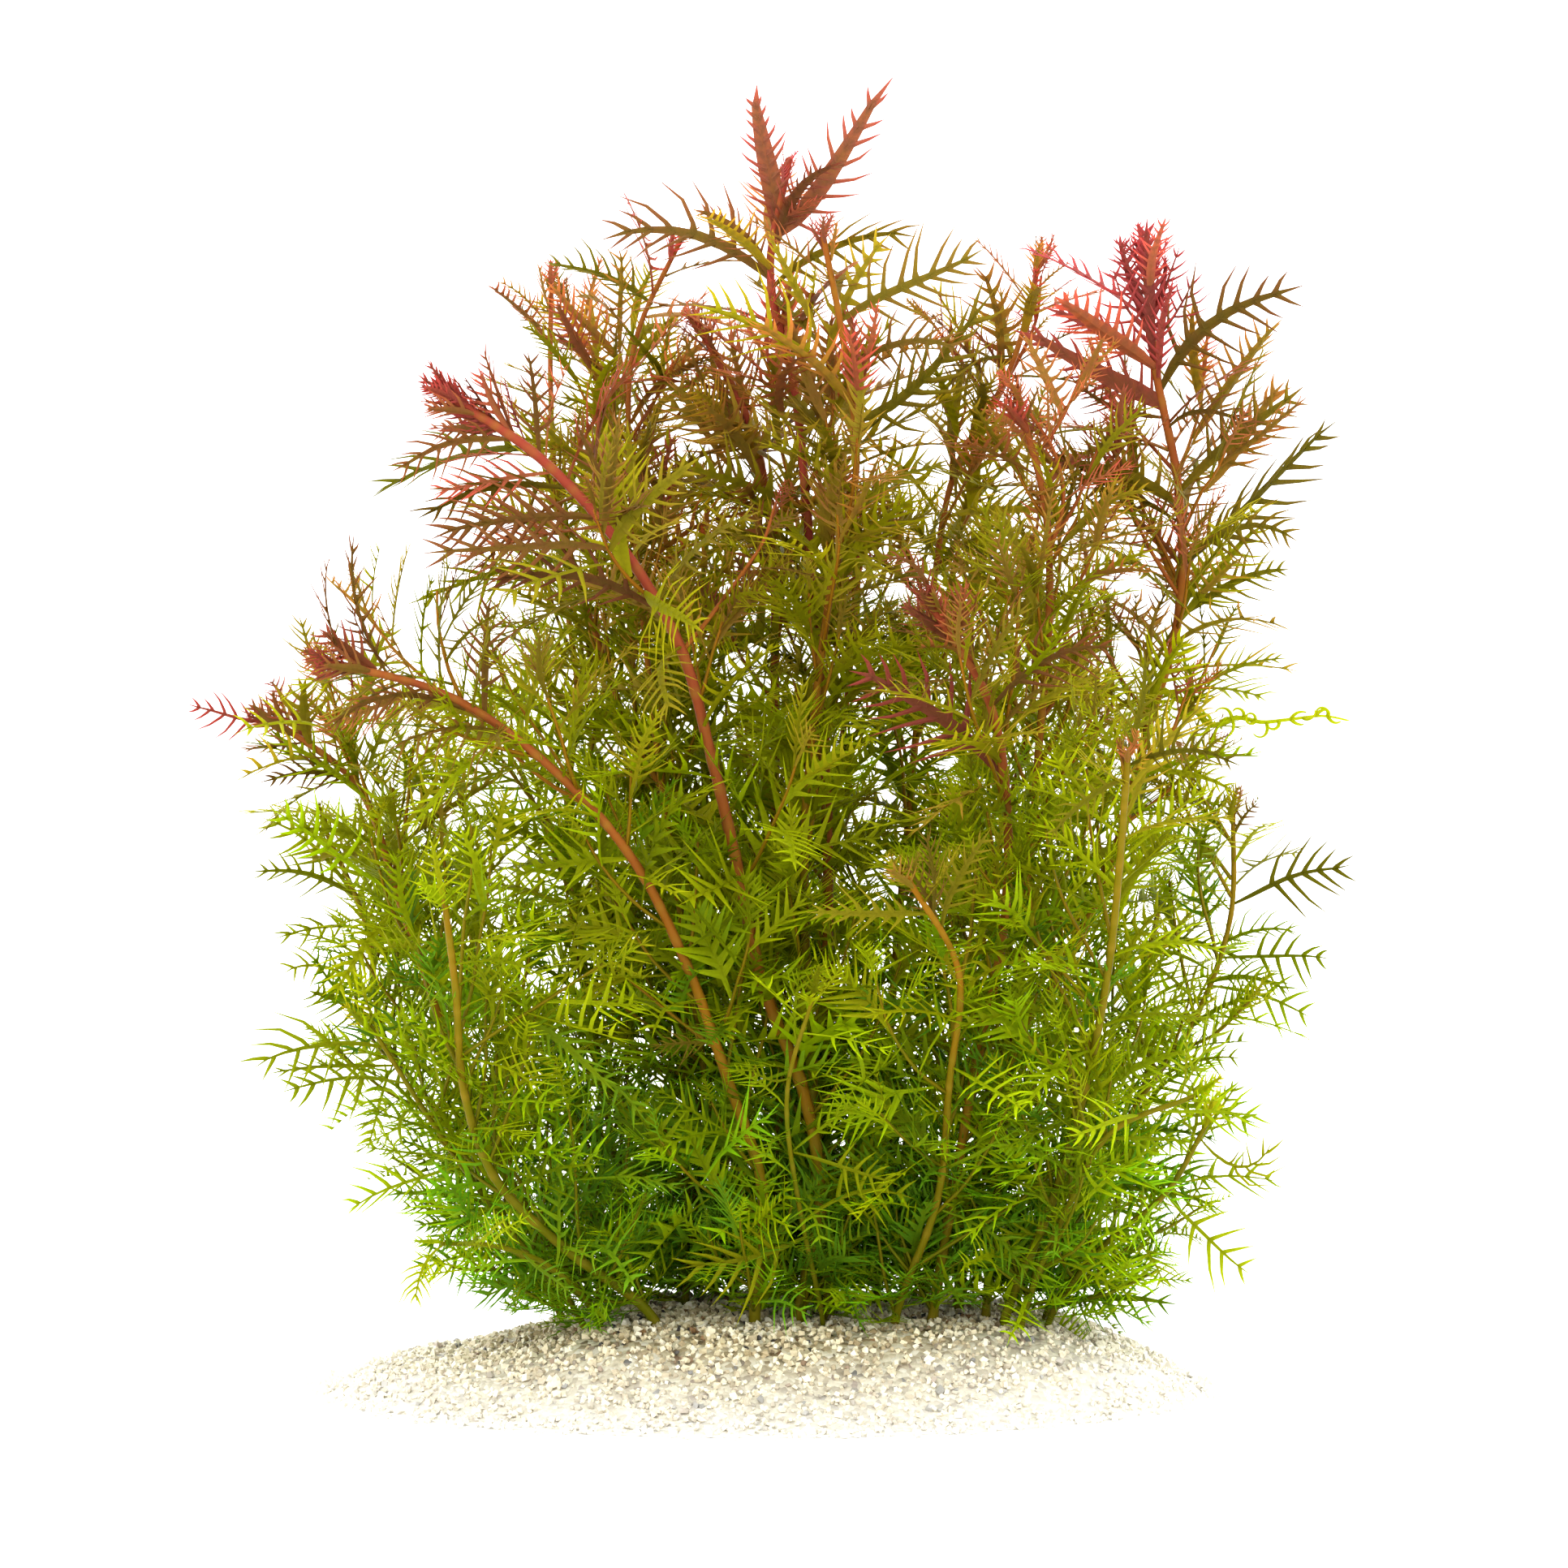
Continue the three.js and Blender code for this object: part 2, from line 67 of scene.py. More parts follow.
STEMS = {
    "01_tall_centre": (1.30, 0.75, [(10, 2, 4.5), (10.1, 2, 15.3), (10.6, 1.9, 38.1), (11.1, 1.8, 61), (11.6, 1.6, 83.9), (11.6, 1.4, 106.8), (11, 1.2, 129.7), (8.8, 1, 152.4), (7.4, 0.7, 175.3), (5, 0.5, 198), (0.3, 0.3, 220.4), (4, 0, 242.7)]),
    "02_centre_gold": (1.15, 0.60, [(12.3, -8.9, 4.5), (11.9, -9, 16.8), (10.1, -9.4, 40.4), (8.6, -10, 64), (7.2, -10.7, 87.7), (7.1, -11.4, 111.4), (9, -12.2, 135), (12.1, -13.1, 158.4), (17, -14, 181.6), (14.8, -15, 204.9), (10.4, -16, 228.1)]),
    "03_left_arch_red": (1.35, 0.95, [(5.2, -13.7, 4.5), (6, -14, 17.3), (10.2, -15.5, 39.4), (6.6, -17.6, 61.6), (-1.3, -20.1, 82.6), (-5.9, -22.9, 104.7), (-11, -25.9, 126.6), (-17.1, -29.2, 148.3), (-28.4, -32.6, 167.5), (-43.5, -36.2, 184.1), (-61.9, -40, 196.8)]),
    "04_left_arch_low": (1.20, 0.75, [(-3, -17.4, 4.5), (-2.7, -18, 17.7), (-1.1, -21, 41.7), (-8, -25.3, 64.3), (-15.7, -30.4, 86.7), (-26.2, -36.1, 107.8), (-41.5, -42.3, 125.5), (-60.3, -48.9, 139.2), (-82.5, -56, 146)]),
    "05_left_outer": (0.95, 0.65, [(-32, -4, 4.5), (-34, -4, 15), (-46.7, -4, 34.2), (-57.2, -4, 54.6), (-65.4, -4, 76.1), (-72.9, -4, 97.8), (-80.6, -4, 119.5), (-97.6, -4, 133.1)]),
    "06_left_mid": (0.75, 0.50, [(-40.2, 13.8, 4.5), (-41.9, 14, 13.1), (-53.9, 15.5, 31.6), (-64.8, 17.7, 50.6), (-77.4, 20.2, 68.3), (-80.9, 23, 89.8), (-89.6, 26, 109.8)]),
    "07_left_low": (0.70, 0.45, [(-34.9, -13, 4.5), (-37.3, -14, 16.7), (-52, -19.9, 36.1), (-64.8, -28.3, 55.9), (-76.3, -38, 76)]),
    "08_left_foot": (0.60, 0.45, [(-31.4, -15.3, 4.5), (-33.6, -18, 17.3), (-42.1, -28.4, 28), (-51.9, -41.6, 33.7), (-61.5, -56, 36.1)]),
    "09_left_front": (1.10, 0.65, [(-19.9, -17.7, 4.5), (-23.3, -19, 17.7), (-39.2, -25.3, 31), (-52.5, -34, 45.9), (-58, -43.9, 64.1), (-58.8, -54.6, 83.1), (-60.3, -66, 101.6)]),
    "10_left_shoulder": (0.85, 0.50, [(-16.7, 12.8, 4.5), (-16.7, 13, 14.2), (-16.6, 14.6, 37.9), (-16.5, 16.9, 61.6), (-16.5, 19.6, 85.2), (-17.6, 22.5, 108.7), (-27.8, 25.7, 129.1), (-35.8, 29.1, 151.1), (-42.4, 32.6, 173.7), (-44.2, 36.2, 197), (-44.2, 40, 220.3)]),
    "11_left_back": (0.85, 0.55, [(-25.3, 23.6, 4.5), (-25.9, 24, 13), (-30.5, 27.6, 38.1), (-34.7, 32.9, 63.1), (-38.6, 39, 87.8), (-41.4, 45.5, 112.6), (-39.6, 52.6, 137.2), (-43.3, 60, 161.5)]),
    "12_centre_back": (0.85, 0.55, [(-2.4, 21.6, 4.5), (-2.9, 22, 13.3), (-6.4, 25, 37.1), (-9.2, 29.3, 60.8), (-11.3, 34.2, 84.4), (-12.7, 39.7, 108), (-13.8, 45.5, 131.5), (-13.7, 51.6, 154.9), (-12.7, 58, 178.3)]),
    "13_left_top": (0.80, 0.50, [(-6.5, 11.9, 4.5), (-6.9, 12, 14.5), (-9.9, 12.6, 38.6), (-13, 13.4, 62.6), (-16.6, 14.4, 86.6), (-20.3, 15.5, 110.6), (-23.3, 16.7, 134.6), (-25.8, 17.9, 158.7), (-27.9, 19.2, 182.8), (-26.8, 20.6, 207), (-17.1, 22, 228.9)]),
    "14_left_top_back": (0.80, 0.50, [(-10.9, 31.8, 4.5), (-11.2, 32, 12.1), (-14, 33.8, 35.4), (-17, 36.3, 58.6), (-20.3, 39.3, 81.8), (-24, 42.6, 104.8), (-27, 46.1, 128), (-28.5, 49.9, 151.2), (-30, 53.8, 174.4), (-33, 57.8, 197.4), (-43.2, 62, 218.1)]),
    "15_centre_red": (1.05, 0.80, [(4.7, 12, 4.5), (4.5, 12, 14.5), (2.7, 12, 39.6), (1.7, 12, 64.7), (1.4, 12, 89.8), (1.2, 12, 114.9), (1.2, 12, 140), (0.8, 12, 165.1), (-3.4, 12, 189.8), (-14.7, 12, 211.9)]),
    "16_right_top": (0.90, 0.55, [(21.4, 11.9, 4.5), (21.5, 12, 14.5), (22.5, 12.8, 38.5), (23.8, 14, 62.5), (25.5, 15.4, 86.4), (27.7, 16.9, 110.2), (29.9, 18.5, 134.1), (32.8, 20.3, 157.9), (37.2, 22.1, 181.4), (48.4, 24, 202.2), (54.7, 26, 225.2)]),
    "17_right_tall": (1.20, 0.80, [(37, 2, 4.5), (37.5, 2, 15.3), (40.3, 2.1, 39.6), (45.4, 2.3, 63.5), (58.4, 2.5, 84), (68.4, 2.7, 106.2), (74.6, 2.9, 129.9), (80.9, 3.2, 153.4), (80.8, 3.4, 177.9), (76.2, 3.7, 202), (73.9, 4, 226.4)]),
    "18_right_centre": (1.05, 0.80, [(31.5, -15.4, 4.5), (32.2, -16, 17.5), (36.1, -19.5, 41.8), (40, -24.6, 65.9), (44.7, -30.6, 89.6), (45.8, -37.2, 113.5), (42.2, -44.4, 137.1), (30.4, -52, 157)]),
    "19_right_low_mid": (0.85, 0.60, [(23.6, -18.6, 4.5), (25, -20, 17.9), (32.7, -27.7, 41.2), (34.6, -38.5, 64.5), (36, -50.7, 87.1), (26, -64, 105.9)]),
    "20_right_mid_red": (0.95, 0.70, [(42.4, -7.8, 4.5), (42.8, -8, 16.8), (44.7, -8.8, 39.5), (47, -10, 62.2), (49.3, -11.3, 84.8), (51.2, -12.8, 107.5), (52.8, -14.5, 130.2), (54.5, -16.2, 152.8), (53.5, -18.1, 175.5), (47.5, -20, 197.4)]),
    "21_right_forward": (1.00, 0.65, [(45, -14, 4.5), (46.5, -15.4, 17.2), (55.1, -23.6, 40.3), (60.7, -35, 63.1), (64.3, -47.6, 85.7), (65.8, -61.3, 107.8), (66.5, -76, 129.4)]),
    "22_right_outer": (0.75, 0.50, [(53.9, 3.8, 4.5), (55.3, 4, 14.8), (63.4, 5, 34.9), (72.4, 6.4, 54.6), (84.6, 8.1, 72.5), (91.8, 10, 92.6), (92.5, 12, 113.9)]),
    "23_right_low": (0.75, 0.50, [(48.4, -16.9, 4.5), (49.8, -18.5, 17.7), (57.1, -26.8, 37.6), (65.4, -38.4, 55), (81.3, -52, 63.9)]),
    "24_right_foot": (0.75, 0.50, [(53.2, -10.9, 4.5), (55.5, -12, 16.4), (65.2, -16.4, 30.4), (77.1, -22.8, 41.7), (84.5, -30, 55.9)]),
    "25_back_centre": (0.90, 0.60, [(12.8, 34.7, 4.5), (12.8, 35, 11.8), (12.1, 38.1, 37.4), (12, 42.6, 62.8), (12.6, 47.8, 88.1), (13.8, 53.5, 113.3), (16.4, 59.6, 138.2), (18.8, 66, 163.1)]),
    "26_back_right": (0.90, 0.60, [(31.4, 31.7, 4.5), (31.7, 32, 11.9), (34.4, 35.2, 35.8), (38, 39.9, 59.4), (42.4, 45.3, 82.6), (47.6, 51.1, 105.6), (53.3, 57.4, 128.4), (57.5, 64, 151.4)]),
    "27_back_left_low": (0.85, 0.60, [(-32.6, 29.4, 4.5), (-33.4, 30, 12), (-41, 35.2, 33.8), (-50.8, 42.5, 54.1), (-58.9, 50.9, 74.6), (-63.6, 60, 96)]),
    "28_back_right_low": (0.85, 0.60, [(48.4, 21.3, 4.5), (49.5, 22, 13.3), (57.4, 27.2, 34), (67.5, 34.5, 53.2), (75.5, 42.9, 72.8), (80.5, 52, 93.2)]),
    "29_front_thin": (0.55, 0.40, [(11.1, -18.1, 4.5), (10.3, -20, 17.9), (5.7, -31, 41.5), (3.6, -45.7, 63.5), (8.6, -62, 83.8)]),
}

# name: (how red the shoot is, longest leaf in mm, side twigs, fineness of the leaves)
HABIT = {
    "01_tall_centre": (1.0, 31, 4, 0.2),
    "02_centre_gold": (0.72, 31, 4, 0.3),
    "03_left_arch_red": (1.0, 32, 3, 0.15),
    "04_left_arch_low": (0.95, 30, 3, 0.2),
    "05_left_outer": (0.9, 28, 3, 0.3),
    "06_left_mid": (0.2, 26, 3, 0.6),
    "07_left_low": (0.1, 26, 2, 0.7),
    "08_left_foot": (0.05, 20, 1, 0.9),
    "09_left_front": (0.3, 25, 4, 0.6),
    "10_left_shoulder": (0.55, 28, 4, 0.4),
    "11_left_back": (0.35, 28, 4, 0.5),
    "12_centre_back": (0.3, 28, 4, 0.5),
    "13_left_top": (0.65, 29, 4, 0.35),
    "14_left_top_back": (0.5, 27, 4, 0.45),
    "15_centre_red": (1.0, 30, 3, 0.2),
    "16_right_top": (0.85, 27, 4, 0.4),
    "17_right_tall": (1.0, 34, 3, 0.2),
    "18_right_centre": (1.0, 30, 4, 0.2),
    "19_right_low_mid": (0.6, 24, 3, 0.6),
    "20_right_mid_red": (0.95, 28, 4, 0.3),
    "21_right_forward": (0.7, 27, 3, 0.4),
    "22_right_outer": (0.45, 25, 3, 0.6),
    "23_right_low": (0.1, 24, 3, 0.7),
    "24_right_foot": (0.25, 22, 2, 0.8),
    "25_back_centre": (0.5, 28, 4, 0.4),
    "26_back_right": (0.6, 28, 4, 0.4),
    "27_back_left_low": (0.15, 25, 3, 0.6),
    "28_back_right_low": (0.2, 25, 3, 0.6),
    "29_front_thin": (0.1, 18, 0, 0.9),
}

# leaves and small shoots that make the outline and the face of the bush, in mm
# leaves: (shoot, foot, middle, tip, 1 flat to the front and 0 edge-on, kind, tint)

OUTLINE_LEAVES = [
    ("03_left_arch_red", (-32.2, -33.5, 171.7), (-32.3, -35.5, 179.9), (-37.3, -37.5, 193.1), 0.8, "F", 0.72),
    ("03_left_arch_red", (-43.1, -36.1, 183.6), (-44.9, -34.1, 195.6), (-45.7, -32.1, 204.9), 0.75, "F", 0.74),
    ("03_left_arch_red", (-47.4, -37.0, 186.8), (-51.7, -37.0, 197.1), (-54.3, -35.0, 206.1), 0.4, "F", 0.82),
    ("03_left_arch_red", (-32.9, -33.7, 172.5), (-47.4, -38.7, 173.1), (-65.1, -41.7, 169.1), 0.75, "F", 0.74),
    ("03_left_arch_red", (-27.5, -32.3, 165.9), (-45.8, -40.3, 167.5), (-66.2, -44.3, 165.7), 0.55, "F", 0.72),
    ("03_left_arch_red", (-21.5, -30.5, 155.8), (-37.4, -36.5, 161.3), (-55.8, -40.5, 160.8), 0.6, "F", 0.76),
    ("03_left_arch_red", (-49.1, -37.4, 188.0), (-61.1, -41.4, 186.6), (-71.7, -43.4, 181.3), 0.7, "F", 0.74),
    ("03_left_arch_red", (-38.7, -35.1, 178.8), (-53.8, -32.1, 178.3), (-68.0, -29.1, 172.4), 0.5, "F", 0.62),
    ("05_left_outer", (-96.4, -4.0, 132.2), (-105.4, -6.0, 133.7), (-114.5, -8.0, 136.0), 0.9, "N", 0.97),
    ("05_left_outer", (-91.3, -4.0, 128.0), (-95.4, -1.0, 137.0), (-98.8, 2.0, 140.4), 0.6, "F", 0.86),
    ("05_left_outer", (-80.9, -4.0, 119.7), (-90.2, -7.0, 122.9), (-99.8, -10.0, 120.2), 0.8, "F", 0.66),
    ("04_left_arch_low", (-53.6, -46.5, 134.3), (-53.9, -44.5, 147.9), (-52.5, -42.5, 158.2), 0.85, "F", 0.72),
    ("04_left_arch_low", (-71.2, -52.4, 142.5), (-77.5, -50.4, 156.5), (-78.3, -47.4, 170.7), 0.25, "F", 0.7),
    ("04_left_arch_low", (-79.6, -55.1, 145.1), (-82.8, -57.1, 156.7), (-81.7, -59.1, 166.3), 0.2, "F", 0.74),
    ("04_left_arch_low", (-57.1, -47.8, 136.9), (-71.2, -53.8, 139.3), (-84.0, -56.8, 132.3), 0.5, "F", 0.72),
    ("04_left_arch_low", (-47.5, -44.4, 129.9), (-59.2, -50.4, 133.5), (-72.7, -54.4, 129.1), 0.45, "F", 0.66),
    ("01_tall_centre", (1.5, 0.2, 227.9), (-0.2, -0.8, 242.5), (-3.4, -2.8, 257.0), 0.9, "B", 0.81),
    ("01_tall_centre", (1.6, 0.2, 228.5), (12.4, -1.8, 239.6), (23.8, -3.8, 259.4), 0.85, "F", 0.8),
    ("01_tall_centre", (1.3, 0.2, 226.1), (6.0, -3.8, 236.4), (14.7, -7.8, 241.7), 0.6, "F", 0.78),
    ("01_tall_centre", (0.5, 0.3, 219.6), (-6.2, -2.7, 228.3), (-14.9, -4.7, 233.0), 0.8, "F", 0.72),
    ("01_tall_centre", (0.7, 0.3, 218.5), (-15.5, 3.3, 228.7), (-33.5, 6.3, 226.8), 0.7, "F", 0.7),
    ("01_tall_centre", (1.0, 0.3, 217.3), (13.2, 4.3, 226.4), (29.8, 8.3, 227.8), 0.6, "F", 0.6),
    ("02_centre_gold", (13.8, -15.2, 210.4), (27.3, -12.2, 217.9), (42.5, -9.2, 224.9), 0.75, "F", 0.5),
    ("02_centre_gold", (15.1, -14.9, 202.0), (27.2, -17.9, 206.8), (38.1, -20.9, 203.6), 0.7, "F", 0.55),
    ("02_centre_gold", (16.1, -14.4, 191.4), (28.9, -10.4, 199.1), (44.8, -6.4, 218.1), 0.6, "F", 0.45),
    ("13_left_top", (-23.3, 21.1, 214.8), (-33.7, 23.1, 220.6), (-45.5, 25.1, 223.6), 0.6, "F", 0.4),
    ("14_left_top_back", (-41.3, 61.2, 214.2), (-43.2, 61.2, 220.1), (-44.9, 61.2, 225.4), 0.6, "N", 0.38),
    ("10_left_shoulder", (-44.2, 37.9, 207.6), (-48.1, 37.9, 212.0), (-50.6, 37.9, 215.8), 0.7, "N", 0.4),
    ("10_left_shoulder", (-43.3, 34.4, 185.1), (-62.1, 36.4, 184.9), (-81.7, 38.4, 175.4), 0.4, "F", 0.45),
    ("10_left_shoulder", (-39.4, 31.0, 163.5), (-56.8, 28.0, 161.2), (-73.4, 26.0, 153.9), 0.5, "F", 0.42),
    ("17_right_tall", (77.8, 3.6, 193.7), (66.5, 0.6, 200.5), (47.7, -2.4, 210.1), 0.8, "F", 0.9),
    ("17_right_tall", (76.3, 3.7, 201.7), (66.7, 5.7, 208.9), (54.0, 7.7, 214.0), 0.75, "F", 0.96),
    ("17_right_tall", (77.0, 3.6, 197.7), (87.9, 1.6, 210.7), (105.6, -0.4, 217.9), 0.85, "F", 0.68),
    ("17_right_tall", (78.5, 3.5, 189.7), (85.8, -1.5, 193.6), (96.7, -5.5, 188.8), 0.6, "F", 0.7),
    ("17_right_tall", (80.8, 3.4, 177.8), (93.4, 1.4, 188.9), (105.3, -0.6, 198.6), 0.9, "F", 0.62),
    ("17_right_tall", (80.9, 3.3, 162.8), (98.5, 5.3, 178.5), (112.5, 8.3, 192.6), 0.5, "F", 0.58),
    ("17_right_tall", (80.9, 3.3, 163.9), (93.4, 0.3, 170.5), (104.3, -2.7, 167.8), 0.75, "F", 0.6),
    ("17_right_tall", (80.8, 3.2, 153.0), (93.5, 5.2, 160.0), (103.3, 8.2, 162.4), 0.7, "F", 0.5),
    ("17_right_tall", (78.1, 3.6, 192.0), (67.7, -1.4, 194.4), (60.0, -5.4, 199.1), 0.6, "F", 0.74),
    ("17_right_tall", (80.8, 3.4, 172.0), (67.8, 6.4, 178.5), (56.7, 9.4, 180.1), 0.6, "F", 0.66),
    ("17_right_tall", (75.6, 3.8, 208.6), (70.9, 3.8, 219.5), (68.5, 3.8, 228.3), 0.6, "F", 1.0),
    ("17_right_tall", (75.5, 3.8, 209.7), (77.5, 3.8, 218.1), (78.1, 3.8, 224.4), 0.6, "F", 1.0),
    ("16_right_top", (49.0, 24.2, 204.5), (39.3, 21.2, 201.9), (32.8, 18.2, 193.0), 0.5, "F", 0.62),
    ("18_right_centre", (31.8, -51.1, 154.7), (28.0, -53.1, 163.4), (21.1, -55.1, 165.0), 0.7, "F", 0.78),
    ("18_right_centre", (44.2, -40.3, 123.7), (29.7, -46.3, 137.2), (15.3, -50.3, 144.7), 0.8, "F", 0.9),
    ("18_right_centre", (42.2, -44.4, 137.1), (54.2, -48.4, 146.5), (66.3, -52.4, 148.2), 0.7, "F", 0.74),
    ("21_right_forward", (66.5, -75.4, 128.5), (69.0, -71.4, 138.2), (70.3, -67.4, 148.8), 0.6, "F", 0.5),
    ("21_right_forward", (66.4, -74.4, 127.0), (77.0, -76.4, 130.2), (87.3, -78.4, 126.5), 0.6, "F", 0.52),
    ("21_right_forward", (66.3, -72.8, 124.7), (57.6, -75.8, 120.4), (51.5, -78.8, 113.0), 0.6, "F", 0.5),
    ("22_right_outer", (91.9, 10.3, 95.6), (103.8, 10.3, 100.7), (116.4, 10.3, 103.3), 0.8, "N", 0.48),
    ("22_right_outer", (88.9, 9.2, 84.6), (101.2, 7.2, 85.7), (112.3, 5.2, 84.4), 0.8, "N", 0.24),
    ("22_right_outer", (87.2, 8.8, 79.8), (99.1, 10.8, 76.7), (109.0, 12.8, 72.6), 0.8, "N", 0.2),
    ("22_right_outer", (92.3, 11.3, 106.5), (94.1, 11.3, 112.3), (98.1, 11.3, 116.3), 0.7, "N", 0.66),
    ("07_left_low", (-73.3, -35.5, 70.7), (-86.5, -37.5, 72.2), (-99.1, -39.5, 67.1), 0.9, "N", 0.3),
    ("07_left_low", (-69.6, -32.3, 64.2), (-82.4, -30.3, 64.6), (-95.0, -29.3, 62.1), 0.7, "N", 0.26),
    ("06_left_mid", (-83.7, 24.0, 96.3), (-91.2, 26.0, 105.7), (-103.3, 28.0, 111.6), 0.85, "N", 0.34),
    ("06_left_mid", (-80.7, 22.8, 88.6), (-89.2, 20.8, 90.5), (-100.5, 18.8, 87.4), 0.7, "N", 0.34),
    ("06_left_mid", (-78.5, 21.1, 75.2), (-89.5, 23.1, 82.2), (-98.6, 25.1, 80.3), 0.7, "N", 0.36),
    ("08_left_foot", (-60.8, -54.9, 35.9), (-65.3, -55.9, 31.1), (-66.7, -56.9, 24.0), 0.8, "N", 0.34),
    ("24_right_foot", (83.3, -28.8, 53.5), (91.2, -30.8, 47.4), (97.4, -31.8, 53.8), 0.8, "N", 0.4),
    ("24_right_foot", (77.2, -22.9, 41.9), (85.6, -22.9, 32.2), (94.3, -22.9, 25.9), 0.8, "N", 0.3),
]
